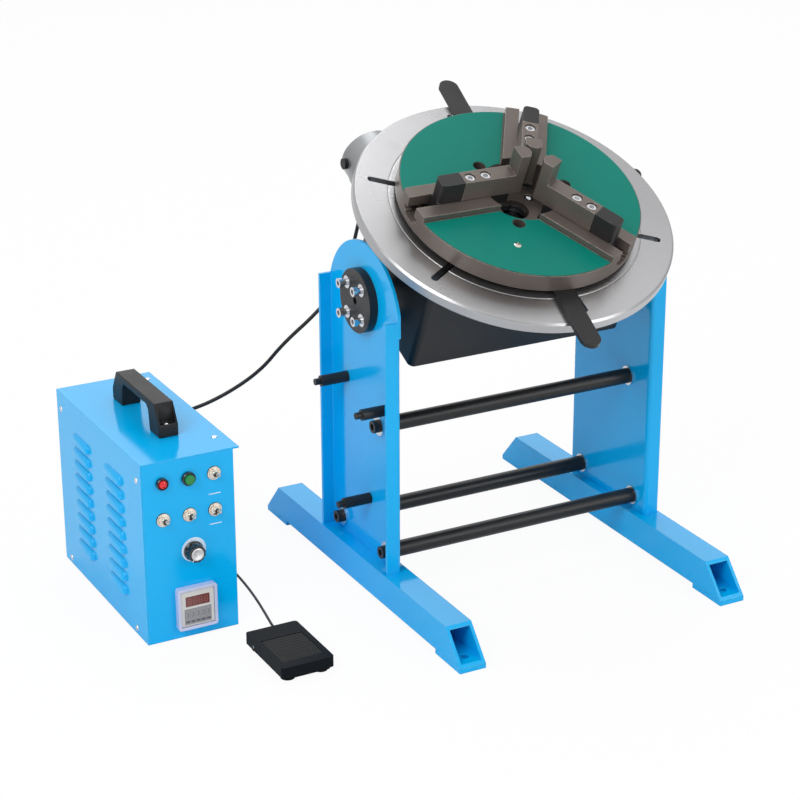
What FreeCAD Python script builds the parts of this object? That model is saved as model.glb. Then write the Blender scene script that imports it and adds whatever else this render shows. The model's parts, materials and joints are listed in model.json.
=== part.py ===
"""Bench welding positioner with a scroll chuck, a control box and a foot pedal (millimetres).

The stand has its origin on the floor, in the middle of the four floor anchors. X runs along the tie
rods, Y along the feet towards the back, Z up. Pieces of the tilting head are drawn in the head's own
frame: its origin on the tilt axis, X along that axis and Z along the table's spindle.
"""
import FreeCAD, Part
import math
import os
import re
import Sketcher

Vec = FreeCAD.Vector
doc = FreeCAD.newDocument("welding_positioner")

# ---------------------------------------------------------------- driving sizes
SIZES = {
    # stand
    "foot_gauge": "=2 * (web_offset + foot_shift)", "foot_shift": 2, "foot_length": 532,
    "foot_width": 35, "foot_height": 40, "foot_wall": 4, "foot_bevel": 36, "pad_thick": 6,
    "pad_length": 60, "anchor_inset": 21, "anchor_radius": 5.5,
    "web_offset": "=head_width / 2 + side_room", "side_room": 33, "web_thick": 4, "web_width": 180,
    "web_centre": 13, "flange_width": 20, "bend_radius": 5, "front_flange_top": 372,
    "back_flange_top": 385, "plate_start": 352, "head_round": 94, "web_top": 447.7,
    "rod_radius": 10, "rod_side_step": 61, "rod_low_height": 64, "rod_high_step": 42,
    "rod_high_height": 225, "rod_bolt_radius": 5, "rod_bolt_reach": 18, "rod_key": 4.6,
    "washer_radius": 12.5, "washer_thick": 2.5, "rod_head_radius": 8, "rod_head_height": 8,
    "peg_radius": 7, "peg_length": 37, "peg_tip_radius": 4.2, "peg_tip_length": 8, "peg_stud": 3,
    "peg_back_step": 45.4, "peg_back_height": 260.5, "peg_front_step": 65, "peg_front_height": 254,
    "peg_low_step": 14, "peg_low_height": 117.7,
    # tilt bearings
    "tilt_height": 375, "tilt_rest": 26.2, "journal_radius": 17, "running_fit": 0.05,
    "bearing_radius": 40, "bearing_thick": 11, "journal_depth": 7, "centre_hole": 4.7,
    "bearing_bolt_pitch": 38, "bearing_bolt": 4, "bolt_clearance": 0.25, "bolt_proud": 13,
    "bolt_head": 6, "bolt_head_height": 5, "bolt_key": 3.4, "bolt_key_deep": 3.4, "bolt_washer": 8,
    "bolt_washer_thick": 1.6, "nut_radius": 6.5, "nut_height": 6.5,
    "lock_hub_radius": 12, "lock_hub_length": 22, "lock_arm_radius": 4, "lock_arm_up": 89,
    "lock_arm_back": 38.8, "lock_arm_out": 23.6, "lock_ball_radius": 9, "lock_gap": 0.4,
    # control box
    "box_left": -493.5, "box_front": -26, "box_width": 116, "box_depth": 281, "box_height": 232,
    "sheet_thick": 2, "cover_lip": 8,
    "louvre_long": 56, "louvre_pitch": 18, "louvre_low": 41, "louvre_count": 9, "louvre_out": 5,
    "louvre_tall": 10, "louvre_mouth": 6, "louvre_wall": 1.2, "louvre_front_first": 62,
    "louvre_front_second": 170,
    "handle_centre": 62, "handle_width": 25, "handle_front": 65, "handle_length": 152,
    "handle_height": 40, "handle_foot": 31, "handle_flare": 9, "handle_bar": 8, "handle_slope": 19,
    "handle_floor": 5, "handle_screw": 4.5, "handle_screw_inset": 12, "handle_edge": 3,
    "column_left": 24, "column_mid": 57.5, "column_right": 90.5, "column_knob": 60.5,
    "row_lamp": 206.5, "row_switch": 159.5, "row_knob": 112,
    "lamp_radius": 7.5, "lamp_hole": 6, "lamp_deep": 14, "lamp_dome": 4.5, "lamp_edge": 2.5,
    "button_bezel": 8.5, "button_radius": 6.2, "button_travel": 2, "button_proud": 4,
    "bush_radius": 3, "bush_nut": 6.6, "bush_nut_high": 2.4, "bush_long": 7, "switch_wide": 13,
    "switch_deep": 18, "switch_tall": 24,
    "lever_neck": 1.4, "lever_tip": 2.2, "lever_end": 1.6, "lever_long": 12, "lever_crown": 1.5,
    "lever_tail": 1, "lever_pivot": 5, "lever_throw": -13, "lever_room": 2.3, "lever_pin": 0.7,
    "lever_pin_half": 2,
    "knob_radius": 11.5, "knob_height": 14, "knob_gap": 0.5, "knob_skirt": 3, "knob_step": 1.6,
    "knob_bevel": 2, "knob_taper": 1, "shaft_radius": 3,
    "timer_width": 51, "timer_height": 54.5, "timer_centre": 40, "timer_proud": 9,
    "timer_case": 45, "timer_case_high": 48.5, "timer_deep": 78, "timer_corner": 2.5,
    "window_up": 10.5, "window_wide": 32, "window_tall": 12, "window_deep": 1,
    "inlet_x": 34, "inlet_z": 60, "inlet_wide": 48, "inlet_tall": 28, "inlet_deep": 22,
    "inlet_rim": 4, "inlet_rim_thick": 2.4, "inlet_mouth_wide": 25, "inlet_mouth_tall": 18,
    "inlet_floor": 4, "inlet_pin_wide": 2, "inlet_pin_tall": 4, "inlet_pin_side": 7,
    "inlet_pin_up": 3, "inlet_pin_deep": 3,
    "motor_gland_x": 80, "motor_gland_z": 130, "pedal_gland_x": 82, "pedal_gland_z": 30,
    "gland_radius": 8, "gland_long": 14, "gland_nose": 6, "gland_nut": 10, "gland_nut_thick": 5,
    "transformer_size": 62, "transformer_high": 54, "transformer_back": 193,
    # foot pedal
    "pedal_left": -395, "pedal_front": -189, "pedal_width": 67.6, "pedal_depth": 104,
    "pedal_height": 20, "pedal_wall": 2.5, "pedal_corner": 4, "pedal_skirt": 6.5,
    "pedal_base_high": 9, "pedal_gap": 0.8, "pedal_pin_back": 81.6, "pedal_pin_height": 10.5,
    "pedal_pin_radius": 2, "pedal_pin_inset": 0.4, "ear_half": 5, "ear_over": 4, "pedal_exit": 49,
    "exit_half": 5, "exit_high": 5.8, "exit_long": 4,
    "tread_border": 7, "tread_sunk": 1.2, "tread_front": 15, "tread_back": 74,
    # tilting head, in the head frame
    "head_width": 300, "head_depth": 170, "head_low": 41.6, "head_high": 76, "head_wall": 6,
    "cover_thick": 8, "head_corner": 8, "trunnion_flange": 36, "trunnion_flange_thick": 8,
    "trunnion_collar": 18, "collar_gap": 0.4,
    "spindle_radius": 30, "spindle_bore": 17.5, "spindle_flange": 55, "spindle_flange_thick": 10,
    "bearing_seat": 47.5, "bearing_tall": 18, "boss_wall": 7, "shoulder_hole": 40,
    "low_bearing": -26, "high_bearing": 60, "spindle_low": -39, "spindle_nut_radius": 36,
    "spindle_nut_tall": 8, "nut_notch": 3,
    "wheel_radius": 76, "wheel_low": 37, "wheel_tall": 22, "wheel_teeth": 60, "tooth_deep": 4,
    "tooth_root": 1.2, "tooth_mouth": 2.6, "wheel_web": 12, "wheel_rim": 62, "wheel_hub": 38,
    "worm_offset": "=wheel_radius + worm_radius + worm_gap", "worm_height": 48,
    "worm_radius": 15.5, "worm_length": 60, "worm_journal": 8, "worm_gap": 0.5, "worm_boss": 14,
    "worm_boss_long": 15,
    "gearbox_half": 45, "gearbox_long": 34, "gearbox_corner": 12, "motor_pilot": 25,
    "motor_radius": 39, "motor_long": 82, "motor_cap_long": 26, "motor_cap_step": 1.5,
    "gland_block": 18, "gland_block_drop": 3, "gland_block_inset": 16, "motor_gland_radius": 5,
    "motor_gland_low": -5, "brush_radius": 7, "brush_proud": 3, "brush_sunk": 1.5,
    "brush_inset": 12,
    # table and chuck; heights above the table face
    "table_radius": 200, "table_thick": 16, "table_face": 111.6, "table_chamfer": 2.5,
    "slot_width": 9, "slot_inner": 80, "slot_outer": 183, "slot_count": 6, "ring_groove": 157,
    "groove_deep": 0.6, "groove_wide": 1.6, "hub_radius": 46, "hub_thick": 8,
    "hub_screw_circle": 32, "hub_screw": 4, "hub_key": 3.5, "hub_screw_head": 6.5,
    "hub_screw_sink": 5, "hub_screw_top": 0.5, "socket_floor": 2,
    "chuck_radius": 150, "chuck_bore": 51, "chuck_hub": 71.5, "rim_under": 6.6, "rim_inner": 142,
    "ceiling": 18.5, "floor_top": 30, "guide_half": 27, "guide_top": 38, "neck_half": 9.7,
    "slot_half": 15, "slot_roof": 24, "tooth_way": 13.1, "sector_thick": 1, "sector_edge": 1.2,
    "chuck_bolt_circle": 61, "chuck_bolt": 5, "chuck_key": 4.5, "chuck_bolt_sink": 8.2,
    "chuck_bolt_head": 7.6, "chuck_bolt_head_tall": 9, "sink_floor": 8,
    "scroll_bore": 72.5, "scroll_radius": 140.6, "scroll_low": 6.3, "scroll_web": 13,
    "thread_top": 17.6, "thread_pitch": 12, "thread_thick": 5.4, "thread_start": 76,
    "thread_turns": 5, "arm_low": 0.7, "arm_width": 25, "arm_reach": 242, "arm_ring": 128,
    "arm_turn": 84.8, "slide_gap": 0.3, "jaw_side_gap": 0.25,
    "jaw_tip": 4.5, "jaw_nose": 9, "jaw_nose_half": 3.2, "jaw_step": 22, "jaw_end": 89.7,
    "cap_end": 121, "jaw_half": 10, "jaw_low": 38.6, "jaw_top": 66, "jaw_tall": 94,
    "jaw_tooth": 4.4, "jaw_screw_first": 58.5, "jaw_screw_second": 79.5, "jaw_screw_sink": 6.8,
    "jaw_screw_deep": 12, "cap_corner": 6, "slider_start": 24,
    # cords
    "motor_cord_radius": 2.5, "pedal_cord_radius": 1.6,
}

sheet = doc.addObject("Spreadsheet::Sheet", "sizes")
for line, alias in enumerate(SIZES, 1):
    sheet.set(f"A{line}", alias)
    sheet.setAlias(f"B{line}", alias)
for line, amount in enumerate(SIZES.values(), 1):
    sheet.set(f"B{line}", str(amount))
doc.recompute()


def expr(text):
    """The text as a FreeCAD expression: every size name gets its sheet's prefix."""
    return re.sub(r"\b([a-z][a-z_]*[a-z])\b(?!\()", r"sizes.\1", str(text))


def value(text):
    return float(sheet.evalExpression(expr(text)))


def bind(target, path, text):
    target.setExpression(path, expr(text))


# ---------------------------------------------------------------- outlines
def rect(x_low, y_low, x_high, y_high):
    return [(x_low, y_low), (x_high, y_low), (x_high, y_high), (x_low, y_high)]


def centred_rect(x, y, width, height):
    return rect(f"({x}) - ({width}) / 2", f"({y}) - ({height}) / 2",
                f"({x}) + ({width}) / 2", f"({y}) + ({height}) / 2")


def round_rect(x_low, y_low, x_high, y_high, r):
    """Rectangle with quarter-round corners; an arc entry is (x, y, radius, turn)."""
    r = f"({r})"
    return [(f"({x_low}) + {r}", y_low), (f"({x_high}) - {r}", y_low, r, 1),
            (x_high, f"({y_low}) + {r}"), (x_high, f"({y_high}) - {r}", r, 1),
            (f"({x_high}) - {r}", y_high), (f"({x_low}) + {r}", y_high, r, 1),
            (x_low, f"({y_high}) - {r}"), (x_low, f"({y_low}) + {r}", r, 1)]


def long_hole(low, high, half):
    """Round-ended outline along Y, on the Y axis."""
    return [(f"-({half})", f"{low} + {half}", half, 1), ("0", low, half, 1),
            (half, f"{low} + {half}"), (half, f"{high} - {half}", half, 1),
            ("0", high, half, 1), (f"-({half})", f"{high} - {half}")]


def circle(x, y, r):
    return ("circle", x, y, r)


def arc_middle(start, end, radius, turn):
    """Centre of the short arc of this radius from start to end, turning left (1) or right (-1)."""
    chord = end - start
    half = chord.Length / 2
    side = Vec(-chord.y, chord.x, 0).normalize() * turn
    return (start + end) / 2 + side * math.sqrt(max(radius * radius - half * half, 0))


def draw(sketch, shape):
    """Adds one outline or circle to a sketch, with every size bound to the sheet."""
    first = len(sketch.Geometry)
    if shape[0] == "circle":
        _, x, y, r = shape
        middle = Vec(value(x), value(y), 0)
        sketch.addGeometry(Part.Circle(middle, Vec(0, 0, 1), value(r)))
        pinned(sketch, first, 3, x, y)
        size(sketch, Sketcher.Constraint("Radius", first, value(r)), r)
        return
    corners = [Vec(value(p[0]), value(p[1]), 0) for p in shape]
    ends = []
    for i, corner in enumerate(shape):
        start, end = corners[i], corners[(i + 1) % len(shape)]
        if len(corner) == 2:
            sketch.addGeometry(Part.LineSegment(start, end))
            ends.append((1, 2))
            continue
        radius, turn = value(corner[2]), corner[3]
        middle = arc_middle(start, end, radius, turn)
        low, high = (start, end) if turn > 0 else (end, start)
        angles = [math.atan2(p.y - middle.y, p.x - middle.x) for p in (low, high)]
        if angles[1] < angles[0]:
            angles[1] += 2 * math.pi
        sketch.addGeometry(Part.ArcOfCircle(Part.Circle(middle, Vec(0, 0, 1), radius), *angles))
        ends.append((1, 2) if turn > 0 else (2, 1))
    for i, corner in enumerate(shape):
        after = (i + 1) % len(shape)
        sketch.addConstraint(Sketcher.Constraint(
            "Coincident", first + i, ends[i][1], first + after, ends[after][0]))
        pinned(sketch, first + i, ends[i][0], corner[0], corner[1])
        if len(corner) == 4:
            size(sketch, Sketcher.Constraint("Radius", first + i, value(corner[2])), corner[2])


def size(sketch, constraint, text):
    number = sketch.addConstraint(constraint)
    bind(sketch, f"Constraints[{number}]", text)


def pinned(sketch, geometry, point, x, y):
    size(sketch, Sketcher.Constraint("DistanceX", -1, 1, geometry, point, value(x)), x)
    size(sketch, Sketcher.Constraint("DistanceY", -1, 1, geometry, point, value(y)), y)


# ---------------------------------------------------------------- bodies
SIGN = {"XY": 1, "XZ": -1, "YZ": 1}


class Piece:
    """One sub-part: a PartDesign body made of pads, pockets and turned profiles."""

    def __init__(self, label):
        self.body = doc.addObject("PartDesign::Body", label)
        self.body.Label = label
        self.count = 0

    def sketch(self, plane, height, shapes):
        self.count += 1
        made = self.body.newObject("Sketcher::SketchObject", f"{self.body.Label}_sketch_{self.count}")
        origin = [f for f in self.body.Origin.OriginFeatures if f.Role == plane + "_Plane"][0]
        made.AttachmentSupport = [(origin, "")]
        made.MapMode = "FlatFace"
        bind(made, "AttachmentOffset.Base.z", height)
        for shape in shapes:
            draw(made, shape)
        return made

    def feature(self, kind, profile):
        made = self.body.newObject("PartDesign::" + kind, f"{self.body.Label}_{kind}_{self.count}")
        made.Profile = profile
        profile.Visibility = False
        return made

    def span(self, plane, low, high):
        """Start of a sketch along its plane's normal, so that it grows from low to high."""
        return f"({low})" if SIGN[plane] > 0 else f"-({high})", f"({high}) - ({low})"

    def add(self, plane, low, high, *shapes):
        start, length = self.span(plane, low, high)
        pad = self.feature("Pad", self.sketch(plane, start, shapes))
        bind(pad, "Length", length)
        return pad

    def cut(self, plane, low, high, *shapes):
        start, length = self.span(plane, low, high)
        pocket = self.feature("Pocket", self.sketch(plane, start, shapes))
        pocket.Reversed = True
        bind(pocket, "Length", length)
        return pocket

    def turn(self, shape, kind="Revolution"):
        """Turns a profile drawn on XZ (radius, height) around Z."""
        profile = self.sketch("XZ", "0", [shape])
        made = self.feature(kind, profile)
        made.ReferenceAxis = (profile, ["V_Axis"])
        made.Angle = 360
        return made

    def repeat(self, feature, number):
        pattern = self.body.newObject("PartDesign::PolarPattern",
                                      f"{self.body.Label}_pattern_{self.count}")
        pattern.Originals = [feature]
        pattern.Axis = (feature.Profile[0], ["N_Axis"])
        pattern.Angle = 360
        bind(pattern, "Occurrences", number)
        self.body.Tip = pattern
        return pattern

    def edges(self, kind, amount, chosen):
        """Fillet or chamfer of the edges that a test picks from the shape so far."""
        doc.recompute()
        base = self.body.Tip
        names = [f"Edge{i}" for i, edge in enumerate(base.Shape.Edges, 1) if chosen(edge)]
        made = self.body.newObject("PartDesign::" + kind, f"{self.body.Label}_{kind}")
        made.Base = (base, names)
        bind(made, "Radius" if kind == "Fillet" else "Size", amount)
        return made

    def place(self, placement):
        self.body.Placement = placement
        return self


def at(x="0", y="0", z="0", turned=FreeCAD.Rotation()):
    return FreeCAD.Placement(Vec(value(x), value(y), value(z)), turned)


def along_x():
    """Turns a piece drawn along Z so that it lies along +X."""
    return FreeCAD.Rotation(Vec(0, 1, 0), 90)


def head_frame():
    return at("0", "web_centre", "tilt_height", FreeCAD.Rotation(Vec(1, 0, 0), value("tilt_rest")))


def in_head(x="0", y="0", z="0", turned=FreeCAD.Rotation()):
    return head_frame().multiply(at(x, y, z, turned))


def on_table(turn=0):
    return in_head(z="table_face", turned=FreeCAD.Rotation(Vec(0, 0, 1), turn))


def feature_piece(label, shape, placement=FreeCAD.Placement()):
    made = doc.addObject("Part::Feature", label)
    made.Label = label
    made.Shape = shape
    made.Placement = placement
    return made


def hexagon(x, y, r):
    """Hexagon with two corners on the line through its middle along X."""
    high = f"({r}) * sqrt(3) / 2"
    return [(f"({x}) + {a} * ({r})", f"({y}) + {b} * {high}")
            for a, b in ((1, 0), (0.5, 1), (-0.5, 1), (-1, 0), (-0.5, -1), (0.5, -1))]


def mirrored(shape):
    return [(f"-({p[0]})", *p[1:3], *(-turn for turn in p[3:])) for p in shape]


def both_sides(near, far):
    """The same span along X on the right and on the left of the stand."""
    return (near, far), (f"-({far})", f"-({near})")


# ---------------------------------------------------------------- stand: feet
FOOT_TOP = "pad_thick + foot_height"
ANCHOR_Y = "foot_length / 2 - anchor_inset"

for label, side in (("left_foot", "-"), ("right_foot", "")):
    foot = Piece(label)
    foot.add("YZ", "-foot_width / 2", "foot_width / 2",
             [("-foot_length / 2", "pad_thick"), ("foot_length / 2", "pad_thick"),
              ("foot_length / 2 - foot_bevel", FOOT_TOP),
              ("foot_bevel - foot_length / 2", FOOT_TOP)])
    foot.cut("YZ", "foot_wall - foot_width / 2", "foot_width / 2 - foot_wall",
             rect("-foot_length / 2", "pad_thick + foot_wall",
                  "foot_length / 2", f"{FOOT_TOP} - foot_wall"))
    foot.cut("XY", "pad_thick", "pad_thick + foot_wall",
             circle("0", ANCHOR_Y, "anchor_radius"), circle("0", f"-({ANCHOR_Y})", "anchor_radius"))
    foot.place(at(side + "foot_gauge / 2"))

pads = Piece("foot_pads")
for x in ("foot_gauge / 2", "-foot_gauge / 2"):
    for y, hole in (("foot_length / 2 - pad_length / 2", ANCHOR_Y),
                    ("pad_length / 2 - foot_length / 2", f"-({ANCHOR_Y})")):
        pads.add("XY", "0", "pad_thick", centred_rect(x, y, "foot_width", "pad_length"),
                 circle(x, hole, "anchor_radius"))

# ---------------------------------------------------------------- stand: uprights
WEB_IN = "web_offset - web_thick"
WEB_FRONT = "web_centre - web_width / 2"
WEB_BACK = "web_centre + web_width / 2"
FLANGE_OUT = f"{WEB_IN} + flange_width"
ROUND_END = "web_top - head_round + sqrt(head_round ^ 2 - (web_width / 2) ^ 2)"
INNER_BEND = "bend_radius - web_thick"
RODS = [("web_centre + rod_side_step", "rod_low_height"),
        ("web_centre - rod_side_step", "rod_low_height"),
        ("web_centre - rod_high_step", "rod_high_height")]
PEGS = [("web_centre + peg_back_step", "peg_back_height"),
        ("web_centre - peg_front_step", "peg_front_height"),
        ("web_centre - peg_low_step", "peg_low_height")]


def flange_bolt_places():
    half = "bearing_bolt_pitch / 2"
    return [(f"web_centre {a} {half}", f"tilt_height {b} {half}") for a in "+-" for b in "+-"]


CHANNEL = [(FLANGE_OUT, WEB_FRONT), (f"{WEB_IN} + bend_radius", WEB_FRONT, "bend_radius", -1),
           (WEB_IN, f"{WEB_FRONT} + bend_radius"),
           (WEB_IN, f"{WEB_BACK} - bend_radius", "bend_radius", -1),
           (f"{WEB_IN} + bend_radius", WEB_BACK), (FLANGE_OUT, WEB_BACK),
           (FLANGE_OUT, f"{WEB_BACK} - web_thick"),
           (f"{WEB_IN} + bend_radius", f"{WEB_BACK} - web_thick", INNER_BEND, 1),
           ("web_offset", f"{WEB_BACK} - bend_radius"),
           ("web_offset", f"{WEB_FRONT} + bend_radius", INNER_BEND, 1),
           (f"{WEB_IN} + bend_radius", f"{WEB_FRONT} + web_thick"),
           (FLANGE_OUT, f"{WEB_FRONT} + web_thick")]
BACK_FLANGE = [(WEB_IN, f"{WEB_BACK} - web_width / 4")] + CHANNEL[3:9] + \
    [("web_offset", f"{WEB_BACK} - web_width / 4")]

for label, (low, high), shaped in (("right_upright", both_sides(WEB_IN, "web_offset")[0], list),
                                   ("left_upright", both_sides(WEB_IN, "web_offset")[1], mirrored)):
    upright = Piece(label)
    upright.add("XY", FOOT_TOP, "front_flange_top", shaped(CHANNEL))
    upright.add("XY", "front_flange_top", "back_flange_top", shaped(BACK_FLANGE))
    upright.add("YZ", low, high,
                [(WEB_FRONT, "plate_start"), (WEB_BACK, "plate_start"),
                 (WEB_BACK, ROUND_END, "head_round", 1), (WEB_FRONT, ROUND_END)])
    holes = [circle("web_centre", "tilt_height", "journal_radius + running_fit")]
    holes += [circle(y, z, "bearing_bolt + bolt_clearance") for y, z in flange_bolt_places()]
    holes += [circle(y, z, "rod_bolt_radius") for y, z in RODS]
    if label == "left_upright":
        holes += [circle(y, z, "peg_stud") for y, z in PEGS]
    upright.cut("YZ", low, high, *holes)

# ---------------------------------------------------------------- stand: tie rods and pegs
ROD_END = f"{WEB_IN} - washer_thick"

rods = Piece("tie_rods")
rods.add("YZ", f"-({ROD_END})", ROD_END, *[circle(y, z, "rod_radius") for y, z in RODS])
washers = Piece("tie_rod_washers")
bolts = Piece("tie_rod_bolts")
bolt_end = both_sides(f"{ROD_END} - rod_bolt_reach", "web_offset + washer_thick")
head_end = both_sides("web_offset + washer_thick", "web_offset + washer_thick + rod_head_height")
socket = both_sides("web_offset + washer_thick + rod_head_height / 2",
                    "web_offset + washer_thick + rod_head_height")
inner_washer = both_sides(ROD_END, WEB_IN)
outer_washer = both_sides("web_offset", "web_offset + washer_thick")
for side in (0, 1):
    bore = both_sides(f"{ROD_END} - rod_bolt_reach", ROD_END)[side]
    rods.cut("YZ", *bore, *[circle(y, z, "rod_bolt_radius") for y, z in RODS])
    for span in (inner_washer[side], outer_washer[side]):
        washers.add("YZ", *span, *[circle(y, z, "washer_radius") for y, z in RODS],
                    *[circle(y, z, "rod_bolt_radius") for y, z in RODS])
    bolts.add("YZ", *bolt_end[side], *[circle(y, z, "rod_bolt_radius") for y, z in RODS])
    bolts.add("YZ", *head_end[side], *[circle(y, z, "rod_head_radius") for y, z in RODS])
    bolts.cut("YZ", *socket[side], *[hexagon(y, z, "rod_key") for y, z in RODS])

pegs = Piece("cable_pegs")
peg_end = "web_offset + peg_length"
for (low, high), radius in ((both_sides("web_offset", peg_end)[1], "peg_radius"),
                            (both_sides(peg_end, f"{peg_end} + peg_tip_length")[1], "peg_tip_radius"),
                            (both_sides(WEB_IN, "web_offset")[1], "peg_stud")):
    pegs.add("YZ", low, high, *[circle(y, z, radius) for y, z in PEGS])

# ---------------------------------------------------------------- tilt bearings
DISC_OUT = "web_offset + bearing_thick"

discs = Piece("bearing_flanges")
flange_bolts = Piece("flange_bolts")
flange_nuts = Piece("flange_nuts")
places = flange_bolt_places()
for side in (0, 1):
    discs.add("YZ", *both_sides("web_offset", DISC_OUT)[side],
              circle("web_centre", "tilt_height", "bearing_radius"),
              circle("web_centre", "tilt_height", "centre_hole"),
              *[circle(y, z, "bearing_bolt + bolt_clearance") for y, z in places])
    discs.cut("YZ", *both_sides("web_offset", "web_offset + journal_depth")[side],
              circle("web_centre", "tilt_height", "journal_radius + running_fit"))
    neck_end = f"{DISC_OUT} + bolt_proud - bolt_head_height"
    for near, far, radius in ((f"{WEB_IN} - nut_height", neck_end, "bearing_bolt"),
                              (neck_end, f"{neck_end} + bolt_head_height", "bolt_head"),
                              (DISC_OUT, f"{DISC_OUT} + bolt_washer_thick", "bolt_washer")):
        flange_bolts.add("YZ", *both_sides(near, far)[side], *[circle(y, z, radius) for y, z in places])
    flange_bolts.cut("YZ", *both_sides(f"{neck_end} + bolt_head_height - bolt_key_deep",
                                       f"{neck_end} + bolt_head_height")[side],
                     *[hexagon(y, z, "bolt_key") for y, z in places])
    flange_nuts.add("YZ", *both_sides(f"{WEB_IN} - nut_height", WEB_IN)[side],
                    *[hexagon(y, z, "nut_radius") for y, z in places],
                    *[circle(y, z, "bearing_bolt") for y, z in places])

# ---------------------------------------------------------------- tilt lock lever
HUB_START = f"{DISC_OUT} + lock_gap"
HUB_END = f"{HUB_START} + lock_hub_length"


def primitive(kind, label, placement, **sizes):
    made = doc.addObject("Part::" + kind, label)
    for name, text in sizes.items():
        bind(made, name, text)
    made.Placement = placement
    return made


def tilt_lock():
    start = Vec(value(f"{HUB_END} - lock_arm_radius * 2"), value("web_centre"), value("tilt_height"))
    ball = start + Vec(value("lock_arm_out"), value("lock_arm_back"), value("lock_arm_up"))
    way = ball - start
    turned = FreeCAD.Rotation(Vec(0, 0, 1), way)
    pieces = [
        primitive("Cylinder", "lock_hub", at(HUB_START, "web_centre", "tilt_height", along_x()),
                  Radius="lock_hub_radius", Height="lock_hub_length"),
        primitive("Cylinder", "lock_stud",
                  at(f"{WEB_IN} + lock_gap", "web_centre", "tilt_height", along_x()),
                  Radius="centre_hole - lock_gap", Height=f"{HUB_START} - ({WEB_IN}) - lock_gap"),
        primitive("Cylinder", "lock_arm", FreeCAD.Placement(start, turned),
                  Radius="lock_arm_radius",
                  Height="sqrt(lock_arm_out ^ 2 + lock_arm_back ^ 2 + lock_arm_up ^ 2)"),
        primitive("Sphere", "lock_ball", FreeCAD.Placement(ball, turned), Radius="lock_ball_radius")]
    lock = doc.addObject("Part::MultiFuse", "tilt_lock")
    lock.Label = "tilt_lock"
    lock.Shapes = pieces
    return lock


tilt_lock()

# ---------------------------------------------------------------- control box
TO_FRONT = FreeCAD.Rotation(Vec(1, 0, 0), 90)
BOX = at("box_left", "box_front")
PANEL = at("box_left", "box_front", "0", TO_FRONT)
REAR = at("box_left", "box_front + box_depth", "0", FreeCAD.Rotation(Vec(1, 0, 0), -90))
TOGGLES = [("column_right", "row_lamp"), ("column_left", "row_switch"),
           ("column_mid", "row_switch"), ("column_right", "row_switch")]
GLANDS = [("motor_gland_x", "motor_gland_z"), ("pedal_gland_x", "pedal_gland_z")]

chassis = Piece("control_chassis")
chassis.add("XZ", "0", "box_depth", rect("0", "0", "box_width", "box_height"))
chassis.cut("XZ", "sheet_thick", "box_depth - sheet_thick",
            rect("0", "sheet_thick", "box_width - sheet_thick", "box_height"))
chassis.cut("XZ", "0", "sheet_thick", circle("column_left", "row_lamp", "lamp_hole"),
            circle("column_mid", "row_lamp", "button_radius + knob_gap"),
            circle("column_knob", "row_knob", "shaft_radius + knob_gap"),
            *[circle(x, z, "bush_radius") for x, z in TOGGLES],
            centred_rect("column_knob", "timer_centre", "timer_case", "timer_case_high"))
chassis.cut("XZ", "box_depth - sheet_thick", "box_depth",
            centred_rect("inlet_x", "inlet_z", "inlet_wide", "inlet_tall"),
            *[circle(x, z, "gland_radius") for x, z in GLANDS])
chassis.place(BOX)

cover = Piece("control_cover")
cover.add("XZ", "0", "box_depth",
          [("-sheet_thick", "0"), ("0", "0"), ("0", "box_height"),
           ("box_width + cover_lip", "box_height"),
           ("box_width + cover_lip", "box_height + sheet_thick"),
           ("-sheet_thick", "box_height + sheet_thick")])
HOOD_OUT = "-sheet_thick - louvre_out"
for front in ("louvre_front_first", "louvre_front_second"):
    hoods, throats = [], []
    for step in range(int(SIZES["louvre_count"])):
        low = f"louvre_low + {step} * louvre_pitch"
        hoods.append([("-sheet_thick", low), ("-sheet_thick", f"{low} + louvre_tall"),
                      (HOOD_OUT, f"{low} + louvre_tall / 4"), (HOOD_OUT, low)])
        throats.append([("0", low), ("0", f"{low} + louvre_mouth"),
                        ("-sheet_thick", f"{low} + louvre_mouth"),
                        (f"{HOOD_OUT} + louvre_wall", f"{low} + louvre_wall"),
                        (f"{HOOD_OUT} + louvre_wall", low)])
    cover.add("XZ", front, f"{front} + louvre_long", *hoods)
    cover.cut("XZ", f"{front} + louvre_wall", f"{front} + louvre_long - louvre_wall", *throats)
cover.place(BOX)

handle = Piece("carry_handle")
COVER_TOP = "box_height + sheet_thick"
HANDLE_BACK = "handle_front + handle_length"
HANDLE_UNDER = f"{COVER_TOP} + handle_height - handle_bar"
handle.add("YZ", "handle_centre - handle_width / 2", "handle_centre + handle_width / 2",
           [("handle_front", COVER_TOP), ("handle_front + handle_foot", COVER_TOP),
            ("handle_front + handle_foot + handle_flare", HANDLE_UNDER),
            (f"{HANDLE_BACK} - handle_foot - handle_flare", HANDLE_UNDER),
            (f"{HANDLE_BACK} - handle_foot", COVER_TOP), (HANDLE_BACK, COVER_TOP),
            (f"{HANDLE_BACK} - handle_slope", f"{COVER_TOP} + handle_height"),
            ("handle_front + handle_slope", f"{COVER_TOP} + handle_height")])
handle.cut("XY", f"{COVER_TOP} + handle_floor", f"{COVER_TOP} + handle_height",
           circle("handle_centre", "handle_front + handle_screw_inset", "handle_screw"),
           circle("handle_centre", f"{HANDLE_BACK} - handle_screw_inset", "handle_screw"))
handle.edges("Fillet", "handle_edge", lambda e: abs(e.Vertexes[0].Z - e.Vertexes[-1].Z) < 1
             and e.BoundBox.ZMin > value(HANDLE_UNDER) + 1
             and e.BoundBox.YLength > value("handle_length / 2"))
handle.place(BOX)

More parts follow.
